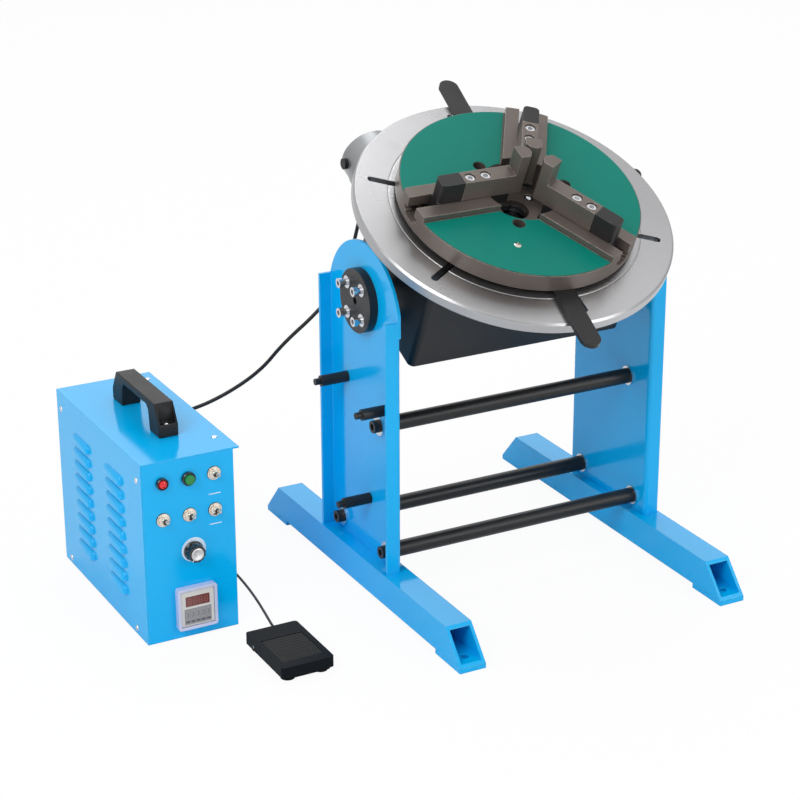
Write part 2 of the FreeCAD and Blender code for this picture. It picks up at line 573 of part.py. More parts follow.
bezels = Piece("panel_bezels")
bezels.add("XY", "0", "bush_nut_high",
           circle("column_left", "row_lamp", "button_bezel"),
           circle("column_left", "row_lamp", "lamp_hole"),
           circle("column_mid", "row_lamp", "button_bezel"),
           circle("column_mid", "row_lamp", "button_radius + knob_gap"),
           *[hexagon(x, z, "bush_nut") for x, z in TOGGLES],
           *[circle(x, z, "bush_radius") for x, z in TOGGLES])
bezels.place(PANEL)

lens = Piece("pilot_lens")
lens.add("XY", "-lamp_deep", "bush_nut_high", circle("0", "0", "lamp_hole"))
lens.add("XY", "bush_nut_high", "bush_nut_high + lamp_dome", circle("0", "0", "lamp_radius"))
lens.edges("Fillet", "lamp_edge",
           lambda e: e.BoundBox.ZMin > value("bush_nut_high + lamp_dome / 2"))
lens.place(PANEL.multiply(at("column_left", "row_lamp")))

switches = Piece("switch_bodies")
for x, z in TOGGLES:
    switches.add("XY", "-sheet_thick - switch_deep", "-sheet_thick",
                 centred_rect(x, z, "switch_wide", "switch_tall"))
    switches.add("XY", "-sheet_thick", "bush_long", circle(x, z, "bush_radius"))
    switches.cut("XY", "bush_long / 2", "bush_long", circle(x, z, "lever_room"))
switches.add("XY", "-sheet_thick - switch_deep", "-sheet_thick",
             circle("column_knob", "row_knob", "knob_radius"))
switches.cut("XY", "-switch_deep", "-sheet_thick",
             circle("column_knob", "row_knob", "shaft_radius + knob_gap"))
switches.add("XY", "-sheet_thick - switch_deep", "-sheet_thick",
             circle("column_mid", "row_lamp", "button_bezel"))
switches.cut("XY", "-switch_deep", "-sheet_thick",
             circle("column_mid", "row_lamp", "button_radius + knob_gap"))
switches.place(PANEL)

button = Piece("reset_button")
button.add("XY", "button_travel - switch_deep + knob_gap", "bush_nut_high + button_proud",
           circle("0", "0", "button_radius"))
button.place(PANEL.multiply(at("column_mid", "row_lamp")))

knob = Piece("speed_knob")
knob.add("XY", "knob_gap - switch_deep", "knob_gap", circle("0", "0", "shaft_radius"))
knob.turn([("0", "knob_gap"), ("knob_radius", "knob_gap"),
           ("knob_radius", "knob_gap + knob_skirt"),
           ("knob_radius - knob_step", "knob_gap + knob_skirt + knob_bevel"),
           ("knob_radius - knob_step - knob_taper", "knob_gap + knob_height - knob_taper"),
           ("knob_radius - knob_step - 2 * knob_taper", "knob_gap + knob_height"),
           ("0", "knob_gap + knob_height")])
knob.place(PANEL.multiply(at("column_knob", "row_knob")))

for number, (x, z) in enumerate(TOGGLES, 1):
    lever = Piece(f"toggle_lever_{number}")
    lever.turn([("0", "-lever_tail"), ("lever_neck", "-lever_tail"), ("lever_neck", "lever_tail"),
                ("lever_tip", "lever_long - lever_crown"), ("lever_end", "lever_long"),
                ("0", "lever_long")])
    lever.add("YZ", "-lever_pin_half", "lever_pin_half", circle("0", "0", "lever_pin"))
    leaning = FreeCAD.Rotation(Vec(1, 0, 0), value("lever_throw"))
    lever.place(PANEL.multiply(at(x, z, "lever_pivot", leaning)))

timer = Piece("timer")
timer.add("XY", "0", "timer_proud", centred_rect("0", "0", "timer_width", "timer_height"))
timer.add("XY", "-timer_deep", "0", centred_rect("0", "0", "timer_case", "timer_case_high"))
timer.cut("XY", "timer_proud - window_deep", "timer_proud",
          centred_rect("0", "window_up", "window_wide", "window_tall"))
timer.edges("Fillet", "timer_corner", lambda e: e.BoundBox.ZMin > -0.01
            and e.BoundBox.ZLength > value("timer_proud") - 0.1)
timer.place(PANEL.multiply(at("column_knob", "timer_centre")))

inlet = Piece("power_inlet")
inlet.add("XY", "-inlet_deep", "0", centred_rect("0", "0", "inlet_wide", "inlet_tall"))
inlet.add("XY", "0", "inlet_rim_thick",
          centred_rect("0", "0", "inlet_wide + 2 * inlet_rim", "inlet_tall + 2 * inlet_rim"))
inlet.cut("XY", "inlet_floor - inlet_deep", "inlet_rim_thick",
          centred_rect("0", "0", "inlet_mouth_wide", "inlet_mouth_tall"))
inlet.add("XY", "inlet_floor - inlet_deep", "-inlet_pin_deep",
          *[centred_rect(x, y, "inlet_pin_wide", "inlet_pin_tall")
            for x, y in (("-inlet_pin_side", "-inlet_pin_up"), ("inlet_pin_side", "-inlet_pin_up"),
                         ("0", "inlet_pin_up"))])
inlet.place(REAR.multiply(at("inlet_x", "-inlet_z")))

glands = Piece("cord_glands")
glands.add("XY", "-gland_nut_thick", "0", *[circle(x, f"-({z})", "gland_radius") for x, z in GLANDS])
glands.add("XY", "0", "gland_nut_thick", *[hexagon(x, f"-({z})", "gland_nut") for x, z in GLANDS])
glands.add("XY", "gland_nut_thick", "gland_nut_thick + gland_long",
           *[circle(x, f"-({z})", "gland_nose") for x, z in GLANDS])
glands.place(REAR)

transformer = Piece("transformer")
transformer.add("XY", "sheet_thick", "sheet_thick + transformer_high",
                centred_rect("box_width / 2", "transformer_back", "transformer_size",
                             "transformer_size"))
transformer.place(BOX)

# ---------------------------------------------------------------- foot pedal
PEDAL = at("pedal_left", "pedal_front")
BASE_IN = "pedal_wall + pedal_gap"

base = Piece("pedal_base")
base.add("XY", "0", "pedal_base_high",
         rect(BASE_IN, BASE_IN, f"pedal_width - ({BASE_IN})", f"pedal_depth - ({BASE_IN})"))
base.cut("XY", "pedal_wall", "pedal_base_high",
         rect(f"{BASE_IN} + pedal_wall", f"{BASE_IN} + pedal_wall",
              f"pedal_width - ({BASE_IN}) - pedal_wall", f"pedal_depth - ({BASE_IN}) - pedal_wall"))
for low, high in ((BASE_IN, f"{BASE_IN} + pedal_wall"),
                  (f"pedal_width - ({BASE_IN}) - pedal_wall", f"pedal_width - ({BASE_IN})")):
    base.add("YZ", low, high, rect("pedal_pin_back - ear_half", "pedal_wall",
                                   "pedal_pin_back + ear_half", "pedal_pin_height + ear_over"))
    base.cut("YZ", low, high, circle("pedal_pin_back", "pedal_pin_height", "pedal_pin_radius"))
base.add("XY", "0", "exit_high", rect("pedal_exit - exit_half", f"pedal_depth - ({BASE_IN})",
                                      "pedal_exit + exit_half", "pedal_depth + exit_long"))
base.place(PEDAL)

pin = Piece("pedal_pin")
pin.add("YZ", "pedal_pin_inset", "pedal_width - pedal_pin_inset",
        circle("pedal_pin_back", "pedal_pin_height", "pedal_pin_radius"))
pin.place(PEDAL)

treadle = Piece("pedal_treadle")
treadle.add("XY", "pedal_skirt", "pedal_height", rect("0", "0", "pedal_width", "pedal_depth"))
treadle.edges("Fillet", "pedal_corner", lambda e: e.BoundBox.ZLength > value("pedal_skirt / 2"))
treadle.cut("XY", "pedal_skirt", "pedal_height - pedal_wall",
            rect("pedal_wall", "pedal_wall", "pedal_width - pedal_wall", "pedal_depth - pedal_wall"))
treadle.cut("YZ", "0", "pedal_width",
            circle("pedal_pin_back", "pedal_pin_height", "pedal_pin_radius + running_fit"))
treadle.cut("XY", "pedal_height - tread_sunk", "pedal_height",
            rect("tread_border", "tread_front", "pedal_width - tread_border", "tread_back"))
treadle.place(PEDAL)

# ---------------------------------------------------------------- tilting head
BOX_OUT = round_rect("-head_width / 2", "-head_depth / 2", "head_width / 2", "head_depth / 2",
                     "head_corner")
FRONT_IN = "head_wall - head_depth / 2"

housing = Piece("head_housing")
housing.add("XY", "-head_low", "head_high", BOX_OUT)
housing.cut("XY", "head_wall - head_low", "head_high",
            round_rect("head_wall - head_width / 2", "head_wall - head_depth / 2",
                       "head_width / 2 - head_wall", "head_depth / 2 - head_wall",
                       "head_corner - head_wall"))
housing.add("XY", "head_wall - head_low", "low_bearing + bearing_tall",
            circle("0", "0", "bearing_seat + boss_wall"))
housing.cut("XY", "low_bearing", "low_bearing + bearing_tall", circle("0", "0", "bearing_seat"))
housing.cut("XY", "-head_low", "low_bearing", circle("0", "0", "shoulder_hole"))
housing.add("XZ", FRONT_IN, f"{FRONT_IN} + worm_boss_long",
            circle("-worm_offset", "worm_height", "worm_boss"))
housing.cut("XZ", FRONT_IN, f"{FRONT_IN} + worm_boss_long",
            circle("-worm_offset", "worm_height", "worm_journal + running_fit"))
housing.cut("XZ", "head_depth / 2 - head_wall", "head_depth / 2",
            circle("-worm_offset", "worm_height", "motor_pilot"))
housing.place(in_head())

lid = Piece("head_cover")
lid.add("XY", "head_high", "head_high + cover_thick", BOX_OUT,
        circle("0", "0", "shoulder_hole"))
lid.add("XY", "high_bearing", "head_high", circle("0", "0", "bearing_seat + boss_wall"),
        circle("0", "0", "bearing_seat"))
lid.cut("XY", "head_high", "high_bearing + bearing_tall", circle("0", "0", "bearing_seat"))
lid.place(in_head())

trunnions = Piece("trunnions")
flange_end = "head_width / 2 + trunnion_flange_thick"
journal_end = "web_offset + journal_depth"
for side in (0, 1):
    for near, far, radius in (("head_width / 2", flange_end, "trunnion_flange"),
                              (flange_end, f"{WEB_IN} - collar_gap", "trunnion_collar"),
                              (f"{WEB_IN} - collar_gap", journal_end, "journal_radius")):
        trunnions.add("YZ", *both_sides(near, far)[side], circle("0", "0", radius))
    trunnions.cut("YZ", *both_sides(f"{WEB_IN} - collar_gap", journal_end)[side],
                  circle("0", "0", "centre_hole"))
trunnions.place(in_head())

bearings = Piece("spindle_bearings")
for low in ("low_bearing", "high_bearing"):
    bearings.add("XY", low, f"{low} + bearing_tall", circle("0", "0", "bearing_seat"),
                 circle("0", "0", "spindle_radius + running_fit"))
bearings.place(in_head())

GEAR_END = "head_depth / 2 + gearbox_long"
gearbox = Piece("gearbox")
gearbox.add("XZ", "head_depth / 2", GEAR_END,
            [(f"-worm_offset {a} gearbox_half {b} {c}", f"worm_height {d} gearbox_half {e} {f}")
             for a, b, c, d, e, f in (("+", "-", "gearbox_corner", "-", "+", "0"),
                                      ("+", "-", "0", "-", "+", "gearbox_corner"),
                                      ("+", "-", "0", "+", "-", "gearbox_corner"),
                                      ("+", "-", "gearbox_corner", "+", "-", "0"),
                                      ("-", "+", "gearbox_corner", "+", "-", "0"),
                                      ("-", "+", "0", "+", "-", "gearbox_corner"),
                                      ("-", "+", "0", "-", "+", "gearbox_corner"),
                                      ("-", "+", "gearbox_corner", "-", "+", "0"))])
gearbox.add("XZ", "head_depth / 2 - head_wall", "head_depth / 2",
            circle("-worm_offset", "worm_height", "motor_pilot"))
gearbox.cut("XZ", "head_depth / 2 - head_wall", GEAR_END,
            circle("-worm_offset", "worm_height", "worm_journal + running_fit"))
gearbox.place(in_head())

motor = Piece("motor_body")
motor.add("XZ", GEAR_END, f"{GEAR_END} + motor_long - motor_cap_long",
          circle("-worm_offset", "worm_height", "motor_radius"))
motor.add("XZ", f"{GEAR_END} + motor_long - motor_cap_long", f"{GEAR_END} + motor_long",
          circle("-worm_offset", "worm_height", "motor_radius - motor_cap_step"))
GLAND_V = f"{GEAR_END} + motor_long - gland_block_inset"
GLAND_SEAT = "worm_height - motor_radius - gland_block_drop"
motor.add("XY", GLAND_SEAT, "worm_height",
          centred_rect("-worm_offset", GLAND_V, "gland_block", "gland_block"))
motor.place(in_head())

motor_gland = Piece("motor_gland")
motor_gland.add("XY", "motor_gland_low", GLAND_SEAT,
                circle("-worm_offset", GLAND_V, "motor_gland_radius"))
motor_gland.place(in_head())

caps = Piece("brush_caps")
brush = circle(f"{GEAR_END} + motor_long - brush_inset", "worm_height", "brush_radius")
caps.add("YZ", "-worm_offset - motor_radius - brush_proud",
         "brush_sunk - worm_offset - motor_radius", brush)
caps.add("YZ", "motor_radius - worm_offset - brush_sunk",
         "motor_radius - worm_offset + brush_proud", brush)
caps.place(in_head())

worm = Piece("worm")
worm.add("XZ", "-worm_length / 2", "worm_length / 2", circle("0", "0", "worm_radius"))
worm.add("XZ", f"{FRONT_IN} + worm_gap", f"{GEAR_END} - worm_gap", circle("0", "0", "worm_journal"))
worm.place(in_head("-worm_offset", "0", "worm_height"))

# ---------------------------------------------------------------- table
HUB_SCREWS = [("0", "-hub_screw_circle"), ("hub_screw_circle * sqrt(3) / 2", "hub_screw_circle / 2"),
              ("-hub_screw_circle * sqrt(3) / 2", "hub_screw_circle / 2")]
CHUCK_BOLTS = [("chuck_bolt_circle", "0"),
               ("-chuck_bolt_circle / 2", "chuck_bolt_circle * sqrt(3) / 2"),
               ("-chuck_bolt_circle / 2", "-chuck_bolt_circle * sqrt(3) / 2")]
TABLE_LOW = "table_face - table_thick"
SHAFT_TOP = f"{TABLE_LOW} - spindle_flange_thick"

spindle = Piece("spindle")
spindle.turn([("spindle_bore", "spindle_low"), ("spindle_radius", "spindle_low"),
              ("spindle_radius", SHAFT_TOP), ("spindle_flange", SHAFT_TOP),
              ("spindle_flange", TABLE_LOW), ("spindle_bore", TABLE_LOW)])
spindle.cut("XY", SHAFT_TOP, TABLE_LOW, *[circle(x, y, "hub_screw") for x, y in HUB_SCREWS])
spindle.place(in_head())

nut = Piece("spindle_nut")
nut.add("XY", "low_bearing - collar_gap - spindle_nut_tall", "low_bearing - collar_gap",
        circle("0", "0", "spindle_nut_radius"), circle("0", "0", "spindle_radius"))
nut.repeat(nut.cut("XY", "low_bearing - collar_gap - spindle_nut_tall", "low_bearing - collar_gap",
                   rect("spindle_nut_radius - nut_notch", "-nut_notch",
                        "spindle_nut_radius + nut_notch", "nut_notch")), "4")
nut.place(in_head())

wheel = Piece("worm_wheel")
wheel.add("XY", "wheel_low", "wheel_low + wheel_tall", circle("0", "0", "wheel_radius"),
          circle("0", "0", "spindle_radius"))
for low, high in (("wheel_low", "wheel_low + (wheel_tall - wheel_web) / 2"),
                  ("wheel_low + (wheel_tall + wheel_web) / 2", "wheel_low + wheel_tall")):
    wheel.cut("XY", low, high, circle("0", "0", "wheel_rim"), circle("0", "0", "wheel_hub"))
wheel.repeat(wheel.cut("XY", "wheel_low", "wheel_low + wheel_tall",
                       [("wheel_radius - tooth_deep", "-tooth_root"),
                        ("wheel_radius + worm_gap", "-tooth_mouth"),
                        ("wheel_radius + worm_gap", "tooth_mouth"),
                        ("wheel_radius - tooth_deep", "tooth_root")]),
             "wheel_teeth")
wheel.place(in_head())

table = Piece("table_plate")
table.add("XY", "-table_thick", "0", circle("0", "0", "table_radius"), circle("0", "0", "spindle_bore"))
table.edges("Chamfer", "table_chamfer", lambda e: e.BoundBox.XLength > value("2 * chuck_radius"))
table.cut("XY", "-hub_thick", "0", circle("0", "0", "hub_radius"))
table.cut("XY", "-groove_deep", "0", circle("0", "0", "ring_groove + groove_wide / 2"),
          circle("0", "0", "ring_groove - groove_wide / 2"))
table.cut("XY", "-table_thick", "0", *[circle(x, y, "hub_screw") for x, y in HUB_SCREWS],
          *[circle(x, y, "chuck_bolt") for x, y in CHUCK_BOLTS])
table.repeat(table.cut("XY", "-table_thick", "0",
                       long_hole("slot_inner", "slot_outer", "slot_width / 2")), "slot_count")
table.place(on_table())

hub = Piece("hub_ring")
hub.add("XY", "-hub_thick", "0", circle("0", "0", "hub_radius"), circle("0", "0", "spindle_bore"))
hub.cut("XY", "-hub_thick", "0", *[circle(x, y, "hub_screw") for x, y in HUB_SCREWS])
hub.cut("XY", "-hub_screw_sink", "0", *[circle(x, y, "hub_screw_head") for x, y in HUB_SCREWS])
hub.place(on_table())


def socket_screws(label, places, heights, radii):
    """Cap screws: a shank up to the sink's floor, then the head with a hexagon socket."""
    low, sink, top = heights
    shank, head, key = radii
    screws = Piece(label)
    screws.add("XY", low, sink, *[circle(x, y, shank) for x, y in places])
    screws.add("XY", sink, top, *[circle(x, y, head) for x, y in places])
    screws.cut("XY", f"({sink}) + socket_floor", top, *[hexagon(x, y, key) for x, y in places])
    screws.place(on_table())


socket_screws("table_bolts", HUB_SCREWS,
              ("-table_thick - spindle_flange_thick", "-hub_screw_sink", "-hub_screw_top"),
              ("hub_screw", "hub_screw_head", "hub_key"))
socket_screws("chuck_bolts", CHUCK_BOLTS,
              ("-table_thick", "sink_floor", "sink_floor + chuck_bolt_head_tall"),
              ("chuck_bolt", "chuck_bolt_head", "chuck_key"))

# ---------------------------------------------------------------- scroll chuck
chuck = Piece("chuck_body")
SKIN = "floor_top - sector_thick"
chuck.turn([("chuck_bore", "0"), ("chuck_hub", "0"), ("chuck_hub", "ceiling"),
            ("rim_inner", "ceiling"), ("rim_inner", "rim_under"), ("chuck_radius", "rim_under"),
            ("chuck_radius", SKIN), ("chuck_bore", SKIN)])
far = "-sqrt(chuck_radius ^ 2 - guide_half ^ 2)"
near = "-sqrt(chuck_bore ^ 2 - guide_half ^ 2)"
chuck.repeat(chuck.add("XY", SKIN, "guide_top",
                       [(far, "guide_half", "chuck_radius", 1), (far, "-guide_half"),
                        (near, "-guide_half", "chuck_bore", -1), (near, "guide_half")]), "3")
for low, high, inner, half in (("ceiling", "slot_roof", "-chuck_bore / 2", "slot_half"),
                               ("slot_roof", "guide_top", "-chuck_bore / 2", "neck_half"),
                               ("tooth_way", "ceiling", "guide_half - rim_inner", "neck_half + slide_gap")):
    chuck.repeat(chuck.cut("XY", low, high,
                           rect("-1.01 * chuck_radius", f"-({half})", inner, half)), "3")
chuck.cut("XY", "sink_floor", SKIN, *[circle(x, y, "chuck_bolt_sink") for x, y in CHUCK_BOLTS])
chuck.cut("XY", "0", "sink_floor", *[circle(x, y, "chuck_bolt") for x, y in CHUCK_BOLTS])
chuck.place(on_table())

sectors = Piece("sector_plates")
sectors.add("XY", SKIN, "floor_top", circle("0", "0", "chuck_radius - sector_edge"),
            circle("0", "0", "chuck_bore + sector_edge"))
sectors.repeat(sectors.cut("XY", SKIN, "floor_top",
                           rect("-chuck_radius", "-guide_half - sector_edge", "-chuck_bore / 2",
                                "guide_half + sector_edge")), "3")
sectors.cut("XY", SKIN, "floor_top", *[circle(x, y, "chuck_bolt_sink") for x, y in CHUCK_BOLTS])
sectors.place(on_table())


def spiral_thread():
    """The scroll: a flat thread that winds outwards, clockwise seen from above."""
    turns, steps = int(value("thread_turns")), 48
    half = value("thread_thick / 2")
    sides = []
    for offset in (-half, half):
        points = []
        for step in range(turns * steps + 1):
            angle = -2 * math.pi * step / steps
            radius = value("thread_start") + value("thread_pitch") * step / steps + offset
            points.append(Vec(radius * math.cos(angle), radius * math.sin(angle), 0))
        curve = Part.BSplineCurve()
        curve.interpolate(points)
        sides.append((curve.toShape(), points))
    (inner, low), (outer, high) = sides
    wire = Part.Wire([inner, Part.makeLine(low[-1], high[-1]), outer, Part.makeLine(high[0], low[0])])
    thread = Part.Face(wire).extrude(Vec(0, 0, value("thread_top - scroll_web")))
    thread.translate(Vec(0, 0, value("scroll_web")))
    ring = Part.makeCylinder(value("scroll_radius"), value("scroll_web - scroll_low"),
                             Vec(0, 0, value("scroll_low")))
    ring = ring.cut(Part.makeCylinder(value("scroll_bore"), value("scroll_web"), Vec()))
    return ring.fuse(thread).removeSplitter()


feature_piece("scroll_ring", spiral_thread(), on_table())

levers = Piece("scroll_levers")
levers.add("XY", "arm_low", "scroll_low", circle("0", "0", "arm_ring"))
levers.add("XY", "arm_low", "scroll_low", long_hole("-arm_reach", "arm_reach", "arm_width / 2"))
levers.cut("XY", "arm_low", "scroll_low", circle("0", "0", "scroll_bore"))
levers.place(on_table(value("arm_turn - 90")))

# ---------------------------------------------------------------- jaws
SLIDER_LOW = "ceiling + slide_gap"
SLIDER_ROOF = "slot_roof - slide_gap"
WING = "slot_half - jaw_side_gap"
NECK = "neck_half - jaw_side_gap"
for number, (angle, out) in enumerate(((60, "0"), (180, "0"), (300, "thread_pitch")), 1):
    spot = on_table(angle).multiply(at(out))
    first = f"thread_start + thread_pitch * {(360 - angle) / 360:.6f} - thread_pitch / 2"
    slider = Piece(f"master_jaw_{number}")
    slider.add("XY", SLIDER_LOW, SLIDER_ROOF, rect("slider_start", f"-({WING})", "cap_end", WING))
    slider.add("XY", SLIDER_ROOF, "jaw_low", rect("slider_start", f"-({NECK})", "cap_end", NECK))
    slider.add("XY", "jaw_low", "jaw_top",
               [("jaw_end + slide_gap", "-jaw_half"),
                ("cap_end - cap_corner", "-jaw_half", "cap_corner", 1),
                ("cap_end", "cap_corner - jaw_half"),
                ("cap_end", "jaw_half - cap_corner", "cap_corner", 1),
                ("cap_end - cap_corner", "jaw_half"), ("jaw_end + slide_gap", "jaw_half")])
    for tooth in range(1, 4):
        middle = f"{first} + {tooth} * thread_pitch"
        inner, outer = f"({middle} - jaw_tooth / 2)", f"({middle} + jaw_tooth / 2)"
        slider.add("XY", "tooth_way + slide_gap", SLIDER_LOW,
                   [(f"sqrt({inner} ^ 2 - ({NECK}) ^ 2)", f"-({NECK})"),
                    (f"sqrt({outer} ^ 2 - ({NECK}) ^ 2)", f"-({NECK})", outer, 1),
                    (f"sqrt({outer} ^ 2 - ({NECK}) ^ 2)", NECK),
                    (f"sqrt({inner} ^ 2 - ({NECK}) ^ 2)", NECK, inner, -1)])
    slider.place(spot)
    jaw = Piece(f"top_jaw_{number}")
    nose = [("jaw_tip", "-jaw_nose_half"), ("jaw_nose", "-jaw_half")]
    for low, high, end in (("jaw_low", "jaw_top", "jaw_end"), ("jaw_top", "jaw_tall", "jaw_step")):
        jaw.add("XY", low, high, nose + [(end, "-jaw_half"), (end, "jaw_half"),
                                         ("jaw_nose", "jaw_half"), ("jaw_tip", "jaw_nose_half")])
    for along in ("jaw_screw_first", "jaw_screw_second"):
        jaw.cut("XY", "jaw_top - jaw_screw_deep", "jaw_top", circle(along, "0", "jaw_screw_sink"))
    jaw.place(spot)

# ---------------------------------------------------------------- cords
BEND_SHARE = 0.45


def cord(label, radius, route):
    """A round cord: straight runs joined by tangent arcs, each as wide as its two runs allow."""
    points = [Vec(*(value(c) for c in point)) for point in route]
    edges, bends, start = [], [], points[0]
    for before, corner, after in zip(points, points[1:], points[2:]):
        into, out = (corner - before), (after - corner)
        half = into.getAngle(out) / 2
        step = BEND_SHARE * min(into.Length, out.Length)
        into.normalize()
        out.normalize()
        begin, end = corner - into * step, corner + out * step
        bend = step / math.tan(half)
        centre = corner + (out - into).normalize() * (bend / math.cos(half))
        middle = centre + (corner - centre).normalize() * bend
        edges += [Part.LineSegment(start, begin).toShape(), Part.Arc(begin, middle, end).toShape()]
        bends.append(round(bend))
        start = end
    edges.append(Part.LineSegment(start, points[-1]).toShape())
    path = Part.Wire(edges)
    ring = Part.Wire([Part.Circle(points[0], points[1] - points[0], value(radius)).toShape()])
    tube = path.makePipeShell([ring], True, False)
    share = tube.Volume / (math.pi * value(radius) ** 2 * path.Length)
    print(f"{label}: {path.Length:.0f} mm long, bend radii {bends}, {share:.3f} of its round volume")
    return feature_piece(label, tube)


BOX_BACK = "box_front + box_depth + gland_nut_thick + gland_long"
PEDAL_END = "pedal_front + pedal_depth + exit_long"
tip = head_frame().multVec(Vec(value("-worm_offset"), value(GLAND_V), value("motor_gland_low")))
below = head_frame().multVec(Vec(value("-worm_offset"), value(GLAND_V), value("motor_gland_low - 40")))
cord("motor_cord", "motor_cord_radius", [
    ("box_left + motor_gland_x", BOX_BACK, "motor_gland_z"),
    ("box_left + motor_gland_x", 305, "motor_gland_z"), (-391, 331, 130), (-348, 331, 134),
    (-290.8, 300, 151), (-247.2, 279, 175), (-209.6, 257.5, 207.5), (-188, 236, 247),
    (-145.6, 215, 291), (-106, 211, 335), tuple(below), tuple(tip)])
cord("pedal_cord", "pedal_cord_radius", [
    ("pedal_left + pedal_exit", PEDAL_END, 2.2), ("pedal_left + pedal_exit", -60, 2.2),
    (-339, -22, 2.2), (-331.5, 22, 2.2), (-326, 70, 2.2), (-323.5, 120, 2.2), (-326, 170, 2.2),
    (-331, 220, 2.2), (-340, 264, 2.2), (-352, 298, 5), (-373, 316, 12), (-398, 312, 22),
    ("box_left + pedal_gland_x", 296, "pedal_gland_z"),
    ("box_left + pedal_gland_x", BOX_BACK, "pedal_gland_z")])

# ---------------------------------------------------------------- check and export
SUB_PARTS = [made for made in doc.Objects
             if made.TypeId in ("PartDesign::Body", "Part::MultiFuse", "Part::Feature")]

doc.recompute()
faulty = [made.Label for made in doc.Objects if {"Invalid", "Error"} & set(made.State)]
if faulty:
    raise RuntimeError(f"not built: {faulty}")
os.makedirs("parts", exist_ok=True)
for made in SUB_PARTS:
    if made.Shape.isNull() or not made.Shape.isValid() or not made.Shape.Solids:
        raise RuntimeError(f"{made.Label} has no valid solid")
    made.Shape.exportStep(f"parts/{made.Label}.step")
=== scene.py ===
"""Looks of a bench welding positioner: finishes for every solid, and the small pieces on them."""

import json
import math

import bmesh
import bpy
from mathutils import Matrix, Vector


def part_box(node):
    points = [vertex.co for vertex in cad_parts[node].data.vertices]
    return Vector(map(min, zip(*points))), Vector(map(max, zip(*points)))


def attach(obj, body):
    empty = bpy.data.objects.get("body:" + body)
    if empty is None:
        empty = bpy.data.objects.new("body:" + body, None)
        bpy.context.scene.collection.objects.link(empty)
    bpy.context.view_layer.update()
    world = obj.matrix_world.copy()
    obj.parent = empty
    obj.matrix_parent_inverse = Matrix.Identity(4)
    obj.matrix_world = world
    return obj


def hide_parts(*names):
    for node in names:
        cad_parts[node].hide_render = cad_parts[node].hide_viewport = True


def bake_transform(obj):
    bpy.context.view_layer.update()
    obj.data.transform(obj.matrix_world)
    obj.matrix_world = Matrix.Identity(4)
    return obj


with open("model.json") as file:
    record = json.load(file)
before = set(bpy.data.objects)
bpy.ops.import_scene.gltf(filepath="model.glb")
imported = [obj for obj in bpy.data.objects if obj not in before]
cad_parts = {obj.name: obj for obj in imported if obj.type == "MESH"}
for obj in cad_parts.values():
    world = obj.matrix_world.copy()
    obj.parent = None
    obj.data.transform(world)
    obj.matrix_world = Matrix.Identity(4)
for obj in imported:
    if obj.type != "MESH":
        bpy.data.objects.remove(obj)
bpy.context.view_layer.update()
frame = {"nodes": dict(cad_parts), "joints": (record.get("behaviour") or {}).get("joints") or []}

# ---------------------------------------------------------------- places, from the frame
MM = 0.001
SHEET = 2.0
TABLE_FACE = 111.6
JOINT = {joint["name"]: joint for joint in frame["joints"]}


def spot(x, y, z=0.0):
    """A place in millimetres."""
    return Matrix.Translation((x * MM, y * MM, z * MM))


def turned(degrees, axis="Z"):
    """A turn about one axis."""
    return Matrix.Rotation(math.radians(degrees), 4, axis)


def middle(node):
    """The middle of a solid's box."""
    low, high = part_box(node)
    return (low + high) / 2


tilt_pivot = Vector(JOINT["head_tilt"]["pos_m"])
table_axis = JOINT["table_turn"]["axis"]
TILT = math.degrees(math.atan2(-table_axis[1], table_axis[2]))
HEAD = Matrix.Translation(tilt_pivot) @ turned(TILT, "X")
TABLE = HEAD @ spot(0, 0, TABLE_FACE)

box_low, box_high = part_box("control_chassis")
cover_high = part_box("control_cover")[1]
BOX = Matrix.Translation(box_low)
BOX_WIDTH = (box_high.x - box_low.x) / MM
BOX_DEPTH = (box_high.y - box_low.y) / MM
BOX_TOP = cover_high.z / MM
COVER_LIP = (cover_high.x - box_high.x) / MM


def on_panel(x, z):
    """A place on the control panel, its Z pointing out of it."""
    return Matrix.Translation((x, box_low.y, z)) @ turned(90, "X")


LAMP_AT = on_panel(middle("pilot_lens").x, middle("pilot_lens").z)
BUTTON_AT = on_panel(middle("reset_button").x, middle("reset_button").z)
KNOB_AT = on_panel(JOINT["speed_turn"]["pos_m"][0], JOINT["speed_turn"]["pos_m"][2])
TIMER_AT = on_panel(middle("timer").x, middle("timer").z)
TOGGLES_AT = []
for number in range(1, 5):
    lever_place = JOINT[f"toggle_{number}_throw"]["pos_m"]
    TOGGLES_AT.append(on_panel(lever_place[0], lever_place[2]))

handle_low, handle_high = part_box("carry_handle")
HANDLE_AT = Matrix.Translation((handle_low.x, handle_low.y, cover_high.z))
HANDLE_WIDTH = (handle_high.x - handle_low.x) / MM
HANDLE_LONG = (handle_high.y - handle_low.y) / MM
HANDLE_TALL = (handle_high.z - cover_high.z) / MM

pedal_low, pedal_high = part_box("pedal_treadle")
PEDAL = Matrix.Translation((pedal_low.x, pedal_low.y, 0))
PEDAL_WIDTH = (pedal_high.x - pedal_low.x) / MM
PEDAL_DEPTH = (pedal_high.y - pedal_low.y) / MM


# ---------------------------------------------------------------- shared effects


def effect(name, inputs, outputs):
    """An empty node group with its inputs and outputs."""
    group = bpy.data.node_groups.new(name, "ShaderNodeTree")
    for label, kind, value in inputs:
        socket = group.interface.new_socket(label, in_out="INPUT", socket_type=kind)
        if kind == "NodeSocketFloat":
            socket.default_value = value
    for label, kind in outputs:
        group.interface.new_socket(label, in_out="OUTPUT", socket_type=kind)
    return group, group.nodes.new("NodeGroupInput"), group.nodes.new("NodeGroupOutput")


